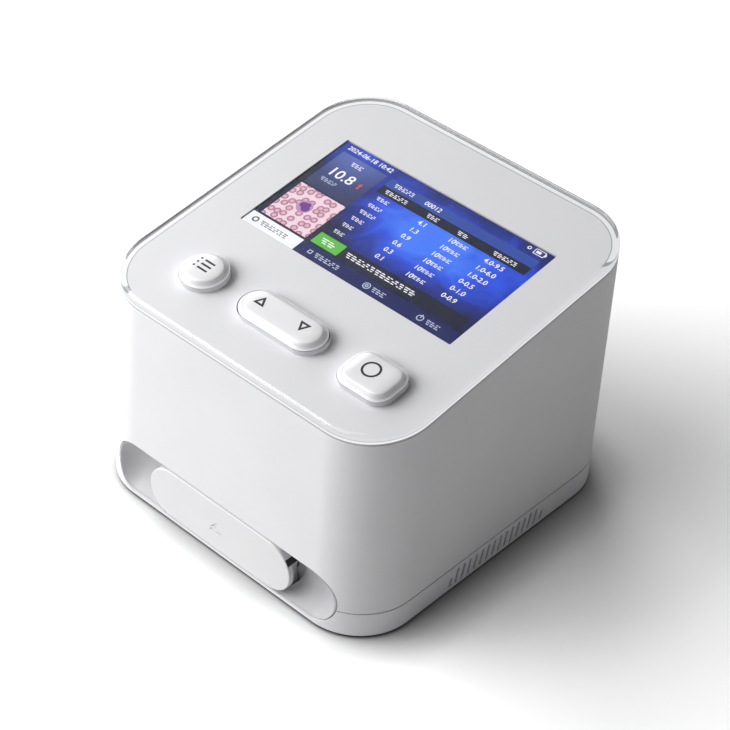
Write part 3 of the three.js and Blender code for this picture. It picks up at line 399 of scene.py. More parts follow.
batteryWrap = textured(
    "batteryWrap", (58, 108, 176), (48, 94, 158), mouldedGrain, (260, 70), 0.3, 0.06, 0.2, 0.0002,
    Coat_Weight=0.3, Coat_Roughness=0.15)


def makeClearCover():
    # cast acrylic with the faintest haze; shadow rays pass so that the deck below is lit
    material, tree, shader = startMaterial("clearCover", {
        "Base Color": (0.985, 0.992, 0.995, 1), "IOR": 1.49, "Transmission Weight": 1.0})
    haze = addNode(tree, "MapRange", {"Value": toneOf(tree, 25.0), "To Min": 0.0, "To Max": 0.03})
    feed(shader, {"Roughness": haze.outputs["Result"]})
    rays = addNode(tree, "LightPath").outputs
    clear = addNode(tree, "BsdfTransparent", {"Color": (1, 1, 1, 1)})
    mixShaders(tree, calc(tree, "MAXIMUM", rays["Is Shadow Ray"], rays["Is Diffuse Ray"]), shader, clear)
    return material


def makeLensGlass():
    # coated lens: a faint cool tint that shifts slowly over it
    material, tree, shader = startMaterial("lensGlass", {
        "IOR": 1.52, "Roughness": 0.02, "Transmission Weight": 0.9})
    feed(shader, {
        "Base Color": mixed(tree, toneOf(tree, 150.0), linear((206, 228, 236)), linear((222, 226, 246)))})
    return material


def makeCircuitBoard():
    # solder mask over copper runs, with small plated pads
    material, tree, shader = startMaterial("circuitBoard", {"Roughness": 0.4})
    place = objectPlace(tree)
    runs = addNode(tree, "TexBrick", {
        "Vector": place, "Scale": 130.0, "Mortar Size": 0.06, "Color1": linear((28, 96, 58)),
        "Color2": linear((24, 88, 52)), "Mortar": linear((52, 132, 84))}).outputs
    pads = addNode(tree, "TexVoronoi", {"Vector": place, "Scale": 260.0, "Randomness": 0.35})
    plated = calc(tree, "LESS_THAN", pads.outputs["Distance"], 0.16)
    relief = addNode(tree, "Bump", {"Strength": 0.3, "Distance": 0.00003, "Height": runs["Fac"]})
    feed(shader, {
        "Base Color": mixed(tree, plated, runs["Color"], linear((196, 176, 118))), "Metallic": plated,
        "Normal": relief.outputs["Normal"]})
    return material


clearCover = makeClearCover()
lensGlass = makeLensGlass()
circuitBoard = makeCircuitBoard()


def litMaterial(name, strength=1.0):
    # a lit area of the display: black glass that gives out light
    return startMaterial(name, {
        "Base Color": (0.004, 0.004, 0.006, 1), "Roughness": 0.3, "Emission Strength": strength})


def evenLight(name, colour, strength=1.0):
    # nearly even light, with the small unevenness of a back light
    material, tree, shader = litMaterial(name, strength)
    dimmer = linear(tuple(0.94 * value for value in colour))
    feed(shader, {"Emission Color": mixed(tree, toneOf(tree, 60.0), dimmer, linear(colour))})
    return material


def spotLight(tree, source, middle, size):
    # 1 at the middle of an oval, fading to 0 at its edge
    place = addNode(tree, "Mapping", {
        "Vector": source, "Location": tuple(-m / s for m, s in zip(middle, size)),
        "Scale": tuple(1 / s for s in size)})
    ball = addNode(tree, "TexGradient", {"Vector": place.outputs["Vector"]}, gradient_type="SPHERICAL")
    return ball.outputs["Fac"]


def rampOf(tree, share, stops):
    ramp = addNode(tree, "ValToRGB", {"Fac": share})
    points = ramp.color_ramp.elements
    for point, (position, colour) in zip(points, (stops[0], stops[-1])):
        point.position, point.color = position, linear(colour)
    for position, colour in stops[1:-1]:
        points.new(position).color = linear(colour)
    return ramp.outputs["Color"]


# the screen and what it shows, in its own pixels: 16 to a millimetre, from the top left
screen = {
    "wide": 95.04,
    "deep": 53.86,
    "pixels": 16.0,
    "middle": (0.3, 12.6),
    "face": -4.3,
    "step": 0.012,
    "module": (52.75, 33.6),
    "moduleTop": -6.3,
    "moduleThick": 2.9,
    "figureShare": 0.7,
    "figureBold": 0.012,
}


def screenPoint(px, py, level=0):
    x = px / screen["pixels"] - screen["wide"] / 2 + screen["middle"][0]
    y = screen["deep"] / 2 - py / screen["pixels"] + screen["middle"][1]
    return Vector((x, y, screen["face"] + screen["step"] * (level + 1)))


def screenSpot(px, py):  # the same point on the sloped screen, in metres
    return tuple(mm * value for value in slope @ screenPoint(px, py))


def makeBackLight():
    # deep blue with a brighter cloud over the table, a corner and a side that glow, and slow swirls
    material, tree, shader = litMaterial("screenBlue")
    place = objectPlace(tree)
    bend = addNode(tree, "TexNoise", {"Vector": place, "Scale": 55.0, "Detail": 2.0, "Distortion": 1.6})
    glow = spotLight(tree, place, screenSpot(900, 330), (0.046, 0.027, 0.05))
    corner = spotLight(tree, place, screenSpot(150, 20), (0.034, 0.016, 0.05))
    side = spotLight(tree, place, screenSpot(1500, 300), (0.03, 0.03, 0.05))
    for part, share in ((corner, 0.5), (side, 0.4), (bend.outputs["Fac"], 0.5)):
        glow = calc(tree, "MULTIPLY_ADD", part, share, glow)
    feed(shader, {"Emission Color": rampOf(tree, glow, [
        (0.22, (5, 10, 40)), (0.36, (10, 24, 82)), (0.55, (18, 44, 146)), (0.8, (34, 80, 226)),
        (1.0, (66, 124, 255))])})
    return material


def makeSmear():
    # stained blood cells under a lens: pale middles, pink rims
    material, tree, shader = litMaterial("smearPink")
    cells = addNode(
        tree, "TexVoronoi", {"Vector": objectPlace(tree), "Scale": 285.0, "Randomness": 0.62},
        voronoi_dimensions="2D")
    feed(shader, {"Emission Color": rampOf(tree, cells.outputs["Distance"], [
        (0.0, (240, 200, 216)), (0.2, (226, 172, 192)), (0.29, (176, 116, 142)), (0.36, (172, 112, 140)),
        (0.42, (250, 218, 230)), (0.9, (253, 226, 236))])})
    return material


def makeCard():
    # the see-through card of the reading: lighter at its top, dark at its foot
    material, tree, shader = litMaterial("screenCard")
    light = spotLight(tree, objectPlace(tree), screenSpot(150, 60), (0.03, 0.022, 0.05))
    feed(shader, {"Emission Color": rampOf(tree, light, [
        (0.0, (44, 52, 92)), (0.35, (52, 66, 124)), (1.0, (96, 116, 196))])})
    return material


screenFinishes = [
    makeBackLight(),
    evenLight("screenWhite", (250, 251, 255), 1.12),
    makeCard(),
    makeSmear(),
    evenLight("screenGreen", (96, 200, 64)),
    evenLight("screenDark", (14, 20, 46)),
    evenLight("screenHeader", (46, 78, 172)),
    evenLight("screenFoot", (12, 26, 92)),
    evenLight("screenGrey", (92, 96, 108)),
    evenLight("screenRed", (232, 84, 72)),
    evenLight("screenPurple", (120, 54, 150)),
    evenLight("screenLilac", (204, 150, 204)),
    evenLight("screenPale", (206, 216, 240)),
]
finishIndex = {material.name: index for index, material in enumerate(screenFinishes)}
print("materials ready")


# display module with its lit face and everything drawn on it
def painted(bm, finish):
    for face in bm.faces:
        face.material_index = finishIndex[finish]
    return bm


def tile(left, top, right, bottom, level, finish, radius=0):
    low = screenPoint(left, bottom, level)
    high = screenPoint(right, top, level)
    bm = bmesh.new()
    roundedFace(bm, (high.x - low.x) / 2, (high.y - low.y) / 2, radius / screen["pixels"], 6, low.z)
    return painted(moved(bm, (low.x + high.x) / 2, (low.y + high.y) / 2), finish)


def spot(px, py, radius, level, finish, hole=0.0, segments=32, turn=0.0):
    # a dot, or a ring where it has a hole
    bm = bmesh.new()
    place = Matrix.Translation(screenPoint(px, py, level)) @ Matrix.Rotation(turn, 4, "Z")
    bmesh.ops.create_circle(
        bm, cap_ends=True, segments=segments, radius=radius / screen["pixels"], matrix=place)
    if hole > 0:
        face = list(bm.faces)[0]
        width = (radius - hole) / screen["pixels"]
        bmesh.ops.inset_region(bm, faces=[face], thickness=width, use_even_offset=True, use_boundary=True)
        bmesh.ops.delete(bm, geom=[face], context="FACES_ONLY")
    return painted(bm, finish)


def figures(text, left, middle, height, level, wide=1.0):
    # plain numbers
    curve = bpy.data.curves.new("figures", "FONT")
    curve.body = text
    curve.size = height / screen["figureShare"] / screen["pixels"]
    curve.resolution_u = 3
    curve.offset = screen["figureBold"] * curve.size
    holder = addObject("figures", curve)
    mesh = evaluatedMesh(holder)
    bm = bmesh.new()
    bm.from_mesh(mesh)
    bpy.data.objects.remove(holder)
    bpy.data.curves.remove(curve)
    bpy.data.meshes.remove(mesh)
    start = Matrix.Translation(screenPoint(left, middle + height / 2, level))
    return painted(placed(bm, start @ Matrix.Diagonal((wide, 1, 1, 1))), "screenWhite")


# dashes of one block of a blank word, as shares of its width
dashes = [[(0.0, 0.86)], [(0.0, 0.36), (0.5, 0.86)], [(0.12, 0.74)], [(0.0, 0.52)], [(0.34, 0.86)]]


def blankWord(left, right, middle, height, level, finish="screenWhite"):
    # stands for a word: blocks of three rows of short dashes, no letters
    count = max(1, round((right - left) / height))
    step = (right - left) / count
    half = height * 0.09
    tiles = []
    for index in range(count):
        start = left + index * step
        for row in range(3):
            y = middle + (row - 1) * height * 0.36
            for near, far in dashes[(index * 3 + row * 2) % len(dashes)]:
                tiles.append(tile(start + near * step, y - half, start + far * step, y + half, level, finish))
    return together(tiles)


reading = {
    "time": "2024-06-18 10:42",
    "value": "10.8",
    "sample": "00012",
    "rangeStart": 1240,
    # each row: its middle, where its label ends, its value and its range
    "rows": [
        (255, 545, "4.1", "4.0-9.5"), (325, 556, "1.3", "1.0-6.0"), (393, 570, "0.9", "1.0-2.0"),
        (462, 546, "0.6", "0-0.5"), (532, 532, "0.3", "0-1.0"), (602, 530, "0.1", "0-0.9")],
}


def tableRow(middle, labelEnd, value, limits):
    return together([
        blankWord(455, labelEnd, middle, 28, 2), figures(value, 766, middle, 34, 2),
        figures("10", 985, middle, 34, 2), blankWord(1030, 1120, middle, 28, 2),
        figures(limits, reading["rangeStart"], middle, 34, 2)])


def makeScreenArt():
    art = [
        tile(0, 0, 1520.6, 861.7, 0, "screenBlue"),
        figures(reading["time"], 40, 34, 33, 2),
        spot(1366, 30, 13, 2, "screenWhite", hole=7),
        # battery sign
        tile(1400, 8, 1472, 52, 2, "screenWhite", 6),
        tile(1405, 13, 1467, 47, 3, "screenBlue", 3),
        tile(1473, 20, 1480, 40, 2, "screenWhite", 2),
        tile(1414, 21, 1446, 39, 4, "screenWhite", 2),
        # card with the reading
        tile(40, 80, 378, 412, 1, "screenCard", 8),
        blankWord(150, 236, 132, 34, 2),
        figures(reading["value"], 86, 242, 72, 2, wide=1.04),
        tile(312, 244, 322, 276, 2, "screenRed", 1),
        spot(317, 238, 16, 2, "screenRed", segments=3),
        blankWord(94, 212, 326, 30, 2, "screenPale"),
        # picture of the cells
        tile(40, 424, 378, 748, 1, "smearPink", 4),
        spot(198, 566, 50, 2, "screenLilac"),
        spot(184, 558, 24, 3, "screenPurple"),
        spot(212, 576, 26, 4, "screenPurple"),
        spot(206, 548, 20, 5, "screenPurple"),
        # first tab, chosen
        tile(0, 764, 386, 861, 1, "screenWhite"),
        spot(60, 812, 22, 2, "screenGrey", hole=12),
        blankWord(100, 300, 812, 36, 2, "screenGrey"),
        # table
        tile(415, 80, 1480, 148, 1, "screenHeader", 6),
        blankWord(462, 610, 113, 32, 2),
        figures(reading["sample"], 690, 113, 33, 2),
        tile(415, 150, 1480, 218, 1, "screenDark"),
        blankWord(455, 620, 184, 32, 2),
        blankWord(765, 850, 184, 32, 2),
        blankWord(985, 1065, 184, 32, 2),
        blankWord(1240, 1405, 184, 32, 2),
        *(tableRow(*row) for row in reading["rows"]),
        # hint line
        tile(415, 655, 605, 748, 2, "screenGreen", 5),
        blankWord(455, 560, 702, 42, 3),
        tile(605, 655, 1480, 748, 1, "screenDark", 6),
        blankWord(640, 1140, 702, 40, 2),
        # foot line
        tile(386, 764, 1520.6, 861, 1, "screenFoot"),
        spot(476, 812, 20, 2, "screenPale", hole=14, segments=4, turn=math.radians(45)),
        blankWord(510, 690, 812, 36, 2, "screenPale"),
        spot(892, 812, 24, 2, "screenPale", hole=18),
        spot(892, 812, 11, 2, "screenPale", hole=5),
        blankWord(930, 1025, 812, 36, 2, "screenPale"),
        spot(1272, 812, 22, 2, "screenPale", hole=16),
        tile(1269, 784, 1275, 812, 3, "screenPale", 2),
        blankWord(1312, 1405, 812, 36, 2, "screenPale"),
    ]
    return finishPiece(
        "screen_picture", together(art), screenFinishes, "housing", matrix=slope,
        weighted=False)


def makeDisplay():
    halfX, halfY = screen["module"]
    top = screen["moduleTop"]
    frameBlock = block(halfX, halfY, 1.5, 4, top - screen["moduleThick"], top, 0.25, 0.25, 2)
    glass = block(screen["wide"] / 2, screen["deep"] / 2, 0.2, 2, top - 0.4, screen["face"], 0.08, 0, 2)
    bm = moved(together([frameBlock, glass]), *screen["middle"])
    return finishPiece(
        "display_panel", bm, [blackPlastic], "housing", ["display_module"], matrix=slope)


makeDisplay()
makeScreenArt()
print("screen drawn")

# the cover, the deck below it and the keys in their holes
top = {
    "coverThick": 3.8,
    "coverRound": 1.5,
    "coverLowEdge": 0.45,
    "printThick": 0.03,
    "windowCorner": 0.35,
    "rimSeam": 0.9,
    "rimBand": 2.45,
    "rimLine": 0.3,
    "deckThick": 2.0,
    "deckInset": 2.7,
    "deckEdge": 0.3,
    "postRadius": 2.6,
    "postLow": -12.9,
    "postPlaces": ((-49.5, -32.6), (46.0, -29.1)),
    "windowGap": 0.35,
    "rowY": -42.6,
    "holeChamfer": 0.12,
    "capGap": 0.12,
    "rockerEndGap": 0.43,
    "flangeTop": -6.3,
    "flangeThick": 1.2,
    "flangeOut": 1.2,
    "stemLow": -9.0,
    "stemRadius": 2.4,
    "rockerHub": (-2.2, 2.2, -5, 5, -10.2, -5.2),
    "rockerStems": (-11.5, 11.5),
    "pinHole": 1.1,
    "pinHeight": -8,
}
# the keys: where they stand across the top, half their size and their corners
keys = {
    "menu": {"x": -36.2, "half": (8.7, 8.7), "corner": 8.7},
    "rocker": {"x": 0.6, "half": (17.9, 7.4), "corner": 7.4},
    "confirm": {"x": 40.2, "half": (10.8, 8.7), "corner": 6.0},
}
# the caps from their edge inwards, and up from the cover: a soft foot, a fine line, a crowned face
capProfile = [
    (0.0, 0.04), (0.25, 0.1), (0.55, 0.24), (0.85, 0.48), (1.1, 0.78), (1.3, 1.08), (1.45, 1.28), (1.55, 1.35),
    (1.6, 1.2), (1.68, 1.2), (1.74, 1.42), (1.95, 1.58), (2.35, 1.73), (2.9, 1.85), (3.7, 1.96), (4.6, 2.05),
    (5.6, 2.1)]


def keyHole(key, low, high, chamfer=0.0):
    # the cutter for a key's hole, opening out at the cover's face
    extra = top["rockerEndGap"] if key is keys["rocker"] else 0.0
    halfX = key["half"][0] + top["capGap"] + extra
    halfY = key["half"][1] + top["capGap"]
    bm = bmesh.new()
    face = roundedFace(bm, halfX, halfY, key["corner"] + top["capGap"], 20, low)
    if chamfer > 0:
        face, verts = raiseFace(bm, face, -chamfer - low)
        face, verts = raiseFace(bm, face, chamfer + 0.05)
        grow = ((halfX + chamfer) / halfX, (halfY + chamfer) / halfY, 1)
        bmesh.ops.scale(bm, vec=grow, verts=verts)
        raiseFace(bm, face, high - 0.05)
    else:
        raiseFace(bm, face, high - low)
    return placed(moved(bm, key["x"], top["rowY"]), slope)


def windowHole(low, high):
    gap = top["windowGap"]
    hole = block(
        screen["wide"] / 2 + gap, screen["deep"] / 2 + gap, top["windowCorner"], 4, low, high,
        middle=screen["middle"])
    return placed(hole, slope)


def rimDistance(x, y):  # how far a place lies in from the plate's outline
    pastX = abs(x) - body["halfWide"] + body["corner"]
    pastY = abs(y) - body["halfDeep"] + body["corner"]
    if pastX > 0 and pastY > 0:
        return body["corner"] - math.hypot(pastX, pastY)
    return body["corner"] - max(pastX, pastY)


# the cover's finishes, in the order of its material slots
clearFace, panelFace, bandFace, paintedShadowFace = range(4)


def makeCover():
    bm = bodyBlock(0, -top["coverThick"], 0, top["coverRound"], top["coverLowEdge"], 8)
    # the print under the plate: a thin dark line of painted seam shadow, a white band, a thin grey line of
    # painted shadow at the deck's edge, then the panel's tone
    under = min(bm.faces, key=lambda face: face.calc_center_median().z)
    under.material_index = panelFace
    widths = (top["rimSeam"] - top["coverLowEdge"], top["rimBand"] - top["rimSeam"], top["rimLine"])
    for width, finish in zip(widths, (paintedShadowFace, bandFace, paintedShadowFace)):
        before = set(bm.faces)
        bmesh.ops.inset_region(bm, faces=[under], thickness=width, use_even_offset=True)
        for face in set(bm.faces) - before:
            face.material_index = finish
    placed(bm, sheared)
    holes = together([keyHole(key, -8, 4, top["holeChamfer"]) for key in keys.values()])
    bm = cutBy(bm, [holes, windowHole(-8, top["printThick"] - top["coverThick"])])
    # the key holes are printed too, and the window stays clear
    flatten = slope.inverted()
    bm.normal_update()
    for face in bm.faces:
        place = flatten @ face.calc_center_median()
        facing = (flatten.to_3x3() @ face.normal).z
        if facing < -0.99 and place.z > 0.01 - top["coverThick"]:
            face.material_index = clearFace
        inHole = abs(facing) < 0.3 and place.z < -top["holeChamfer"] and any(
            abs(place.x - key["x"]) < key["half"][0] + 1 and abs(place.y - top["rowY"]) < key["half"][1] + 1
            for key in keys.values())
        if inHole:
            face.material_index = panelFace
        # the plate's low edge gets the painted seam shadow too
        sheet = sheared.inverted() @ face.calc_center_median()
        atSeam = sheet.z < top["coverLowEdge"] * 0.9 - top["coverThick"] and facing > -0.98
        if atSeam and rimDistance(sheet.x, sheet.y) < top["coverLowEdge"]:
            face.material_index = paintedShadowFace
    return finishPiece(
        "clear_top", bm, [clearCover, coverPrint, rimPrint, rimPaintedShadow], "housing",
        ["clear_cover"], sharp=40)


def makeDeck():
    drop = body["seamDrop"]
    bm = placed(bodyBlock(top["deckInset"], -drop - top["deckThick"], -drop, top["deckEdge"], 0, 3), sheared)
    bm = cutBy(bm, [together([keyHole(key, -12, 4) for key in keys.values()] + [windowHole(-12, 3)])])
    posts = [
        placed(disc(top["postRadius"], top["postLow"], -5, 32, 0, 0.2, place), slope)
        for place in top["postPlaces"]]
    return finishPiece(
        "white_deck", together([bm] + posts), [deckWhite], "housing", ["deck_plate"], sharp=40)


def pillow(halfX, halfY, corner, low):
    # a cap that rounds over softly to a nearly flat middle
    bm = bmesh.new()
    face = roundedFace(bm, halfX, halfY, corner, 20, low)
    face = raiseFace(bm, face, capProfile[0][1] - low)[0]
    for (inset, height), (previous, last) in zip(capProfile[1:], capProfile):
        bmesh.ops.inset_region(bm, faces=[face], thickness=inset - previous, use_even_offset=True)
        bmesh.ops.translate(bm, vec=(0, 0, height - last), verts=list(face.verts))
    bmesh.ops.recalc_face_normals(bm, faces=bm.faces)
    return bm


def crownAt(key, x, y):  # height of a cap's face at a place on it
    halfX, halfY = key["half"]
    corner = key["corner"]
    dx = max(abs(x) - (halfX - corner), 0)
    dy = max(abs(y) - (halfY - corner), 0)
    inward = corner - math.hypot(dx, dy) if dx > 0 and dy > 0 else min(halfX - abs(x), halfY - abs(y))
    for (a, low), (b, high) in zip(capProfile, capProfile[1:]):
        if a <= inward < b:
            return low + (high - low) * (inward - a) / (b - a)
    return capProfile[-1][1] if inward > 0 else capProfile[0][1]


def strokes(points, width, closed):
    # a line of even width through points, mitred at its corners, lying flat
    bm = bmesh.new()
    count = len(points)
    sides = []
    for index, point in enumerate(points):
        before = points[index - 1] if closed or index > 0 else None
        after = points[(index + 1) % count] if closed or index < count - 1 else None
        legs = [(before, point), (point, after)]
        ways = [(end - begin).normalized() for begin, end in legs if begin is not None and end is not None]
        normals = [Vector((-way.y, way.x)) for way in ways]
        across = sum(normals, Vector((0, 0))).normalized()
        reach = width / 2 / max(0.3, across.dot(normals[0]))
        ends = (point + across * reach, point - across * reach)
        sides.append([bm.verts.new((*end, 0)) for end in ends])
    for index in range(count if closed else count - 1):
        (a, b), (c, d) = sides[index], sides[(index + 1) % count]
        bm.faces.new((a, b, d, c))
    return bm


def makeMarks(keyName, parts):
    # lays the marks on the key's crowned face
    key = keys[keyName]
    bm = together(parts)
    bmesh.ops.subdivide_edges(bm, edges=bm.edges, cuts=2, use_grid_fill=True)
    for vert in bm.verts:
        vert.co.z = crownAt(key, vert.co.x, vert.co.y) + marks["proud"]
    bmesh.ops.recalc_face_normals(bm, faces=bm.faces)
    if sum(face.normal.z for face in bm.faces) < 0:
        bmesh.ops.reverse_faces(bm, faces=bm.faces)
    moved(bm, key["x"], top["rowY"])
    return finishPiece(
        keyName + "_marks", bm, [markGrey], keyName + "_key", matrix=slope, weighted=False)


def makeKey(keyName):
    key = keys[keyName]
    halfX, halfY = key["half"]
    isRocker = keyName == "rocker"
    low = top["flangeTop"] - (0 if isRocker else top["flangeThick"])
    parts = [pillow(halfX, halfY, key["corner"], low)]
    if isRocker:
        parts.append(bar(*top["rockerHub"]))
        parts += [
            disc(top["stemRadius"], top["stemLow"], top["rockerHub"][-1], 32, 0, 0.3, (x, 0))
            for x in top["rockerStems"]]
    else:
        out = top["flangeOut"]
        parts.append(block(
            halfX + out, halfY + out, key["corner"] + out, 16, top["flangeTop"] - top["flangeThick"],
            top["flangeTop"], 0.2, 0.2, 2))
        parts.append(disc(top["stemRadius"], top["stemLow"], top["flangeTop"], 32, 0, 0.3))
    bm = together(parts)
    if isRocker:
        bm = cutBy(bm, [facingFront(disc(top["pinHole"], -8, 8, 32), 0, top["pinHeight"])])
    moved(bm, key["x"], top["rowY"])
    return finishPiece(
        keyName + "_cap", bm, [keyWhite], keyName + "_key", [keyName + "_button"],
        matrix=slope, sharp=38)


def flat(*pairs):
    return [Vector(pair) for pair in pairs]


def circlePoints(radius, count):
    angles = [math.tau * index / count for index in range(count)]
    return flat(*((radius * math.cos(angle), radius * math.sin(angle)) for angle in angles))


marks = {
    "line": 0.8,
    "listRows": (-1.43, 0.6, 2.58),
    "listBar": (-1.72, 2.75),
    "listDot": (-3.35, 0.45),
    "triangle": (1.65, 3.05),
    "upAt": (-10.0, -0.95),
    "downAt": (8.55, 2.05),
    "ring": 3.05,
    "ringSteps": 40,
    "ringAt": (-0.93, 0.64),
    "proud": 0.02,
}


def makeAllMarks():
    dotX, dotRadius = marks["listDot"]
    rows = []
    for y in marks["listRows"]:
        rows.append(strokes(flat(*((x, y) for x in marks["listBar"])), marks["line"], False))
        rows.append(disc(dotRadius, 0, 0.01, 20, middle=(dotX, y)))
    makeMarks("menu", rows)
    half, high = marks["triangle"]
    up = strokes(flat((-half, 0), (half, 0), (0, high)), marks["line"], True)
    down = strokes(flat((-half, 0), (half, 0), (0, -high)), marks["line"], True)
    makeMarks("rocker", [moved(up, *marks["upAt"]), moved(down, *marks["downAt"])])
    ring = strokes(circlePoints(marks["ring"], marks["ringSteps"]), marks["line"], True)
    makeMarks("confirm", [moved(ring, *marks["ringAt"])])


makeCover()
makeDeck()
for keyName in keys:
    makeKey(keyName)
makeAllMarks()
print("top made")

# the two shells, and the recess across their parting line
recess = {
    "half": 53.0,
    "radius": 10.5,
    "height": 13.2,
    "steps": 28,
    "lipEdge": 0.3,
    "linerDeep": 9.3,
    "linerThick": 3.0,
    "bowlDeep": 7.3,
    "bowlFront": 6.0,
    "bowlReach": 12.0,
    "faceInset": 0.12,
}
frontOut = -body["halfDeep"] - body["draftDeep"] - 3
linerBack = recess["linerDeep"] - body["halfDeep"]
slotBack = linerBack - recess["linerThick"]
# the upper shell's ledge under the deck, its edges, and how far the collars stay behind the walls
shell = {
    "ledgeTop": 2.3,
    "ledgeLow": 4.3,
    "ledgeWide": 3.0,
    "lowEdge": 0.25,
    "topEdge": 0.3,
    "skin": 0.6,
}
base = {
    "edge": 0.8,
    "lipInset": 2.7,
    "lipThick": 1.2,
    "lipTop": 13.5,
    "floorTop": 3.4,
    "bossRadius": 4.0,
    "bossSplit": 13.7,
    "bossTop": 34.0,
    "screwHole": 1.8,
    "counterbore": 3.1,
    "counterTop": 6.0,
    "footPocket": 6.3,
    "pocketDeep": 0.8,
    "footRadius": 6.0,
    "footHigh": 1.5,
    "postRadius": 3.0,
    "postTop": 27.7,
}
vents = {
    "count": 16, "pitch": 3.26, "halfWide": 0.6, "low": 2.7, "high": 9.3, "endDrop": 2.6, "middleY": 0.6,
    "slant": 12.0, "corner": 0.58, "nearX": 58, "farX": 72,
}
corners = ["front_left", "front_right", "rear_left", "rear_right"]
screwPlaces = [(-59.3, -39.0), (59.3, -39.0), (-59.3, 46.0), (59.3, 46.0)]
postPlaces = [(-46.5, 14.5), (46.5, 14.5), (-46.5, 57.5), (46.5, 57.5)]
footPlaces = [(-47.0, -49.0), (47.0, -49.0), (-47.0, 49.0), (47.0, 49.0)]
# the socket holes at the rear: across, half their width, their top, their corner and its steps
sockets = {"low": 29.6, "places": ((-22.0, 5.1, 41.2, 0.5, 4), (2.0, 5.3, 34.4, 1.2, 6))}


def stadiumForward(half, radius, nearY, farY, x=0.0, grow=0.0, topEdge=0.0):
    # a stadium of the front face, from nearY (front) back to farY
    bm = block(half + grow, radius + grow, radius + grow, recess["steps"], -farY, -nearY, topEdge, 0, 5)
    return facingFront(bm, x, recess["height"])


def recessPlug(farY, grow=0.0):
    return stadiumForward(recess["half"], recess["radius"], frontOut, farY, grow=grow)


def discsAt(places, radius, low, high, segments=32, topEdge=0.0):
    return together([disc(radius, low, high, segments, topEdge, 0, place) for place in places])


def onOuterRim(edge):
    # True for the recess's edge on the outside wall of a shell
    a, b = (vert.co for vert in edge.verts)
    for point in (a, b):
        dx = max(abs(point.x) - (recess["half"] - recess["radius"]), 0)
        if abs(math.hypot(dx, point.z - recess["height"]) - recess["radius"]) > 0.03 or point.y > -30:
            return False
    faces = edge.link_faces
    if len(faces) != 2 or edge.calc_face_angle(0) < math.radians(35):
        return False
    middle = (a + b) / 2
    outward = Vector((
        max(abs(middle.x) - (body["halfWide"] - body["corner"]), 0) * math.copysign(1, middle.x),
        min(middle.y + (body["halfDeep"] - body["corner"]), -0.01), 0)).normalized()
    return any(face.normal.dot(outward) > 0.9 for face in faces)


def softenRim(bm, size):
    bm.normal_update()
    roundEdges(bm, [edge for edge in bm.edges if onOuterRim(edge)], size, 3)


def makeMainShell():
    low = body["parting"] + body["partingGap"]
    drop = body["seamDrop"]

    def upright(inset, bottom, depth, lowEdge=0.0, topEdge=0.0):
        bm = bmesh.new()
        face = roundedFace(
            bm, body["halfWide"] - inset, body["halfDeep"] - inset, body["corner"] - inset,
            body["cornerSteps"], bottom)
        face, verts = raiseFace(bm, face, 60)
        for vert in verts:
            vert.co.z = slopeAt(vert.co.y, depth)
        bmesh.ops.recalc_face_normals(bm, faces=bm.faces)
        roundEdges(bm, list(face.edges), topEdge, 3)
        roundRim(bm, bottom, lowEdge, 3)
        return bm

    def shaft(inset, floorDrop):
        # an upright hole down to a sloped floor
        bm = upright(inset, 60, drop - 3)
        for vert in bm.verts:
            if vert.co.z < 61:
                vert.co.z = slopeAt(vert.co.y, floorDrop)
        return bm

    def lean(bm, bottom, depth):
        def share(place):
            ceiling = slopeAt(place.y, depth)
            return draftAt(bottom) * (ceiling - place.z) / (ceiling - bottom)
        leanWalls(bm, share)
        return bm

    wall = body["wall"]
    roomDrop = drop + shell["ledgeLow"]
    outer = lean(upright(0, low, drop, shell["lowEdge"], shell["topEdge"]), low, drop)
    room = lean(upright(wall, low - 3, roomDrop), low, roomDrop)
    bm = cutBy(outer, [
        room, shaft(wall + shell["ledgeWide"], roomDrop + 3), shaft(wall, drop + shell["ledgeTop"])])
    collar = recessPlug(linerBack, wall)
    skin = lean(upright(shell["skin"], low, drop), low, drop)
    bm = cutBy(bm, [cutBy(collar, [skin], "INTERSECT")], "UNION")
    posts = []
    for x, y in screwPlaces:
        posts.append(disc(base["bossRadius"], base["bossSplit"] + 0.3, base["bossTop"], 32, 0.3, 0.3, (x, y)))
        reach = math.copysign(body["halfWide"] - wall / 2, x)
        posts.append(bar(
            min(x, reach), max(x, reach), y - 1, y + 1, base["bossSplit"] + 0.3, base["bossTop"] - 0.3))
    bm = cutBy(bm, posts, "UNION")
    rear = body["halfDeep"]
    holes = [
        facingFront(
            block(half, (high - sockets["low"]) / 2, corner, steps, -rear - 9, -rear + 6), x,
            (high + sockets["low"]) / 2)
        for x, half, high, corner, steps in sockets["places"]]
    bores = discsAt(screwPlaces, base["screwHole"], 5, 26, 24)
    opening = recessPlug(linerBack + 3)
    bm = cutBy(bm, [opening, together(holes), bores])
    softenRim(bm, recess["lipEdge"])
    return finishPiece("upper_shell", bm, [shellWhite], "housing", ["main_shell"])


def levelBlock(inset, low, high, lowEdge=0.0):
    bm = bodyBlock(inset, low, high, 0, lowEdge, 5)
    leanWalls(bm, lambda place: draftAt(place.z))
    return bm


def ventCutter(index):
    ends = index in (0, vents["count"] - 1)
    high = vents["high"] - (vents["endDrop"] if ends else 0)
    middleY = vents["middleY"] + (index - (vents["count"] - 1) / 2) * vents["pitch"]
    bm = block(
        vents["halfWide"], (high - vents["low"]) / 2, vents["corner"], 5, vents["nearX"], vents["farX"])
    stand = Matrix(((0, 0, 1, 0), (1, 0, 0, 0), (0, 1, 0, 0), (0, 0, 0, 1)))
    place = Matrix.Translation((0, middleY, (high + vents["low"]) / 2))
    return placed(bm, place @ Matrix.Rotation(math.radians(-vents["slant"]), 4, "X") @ stand)


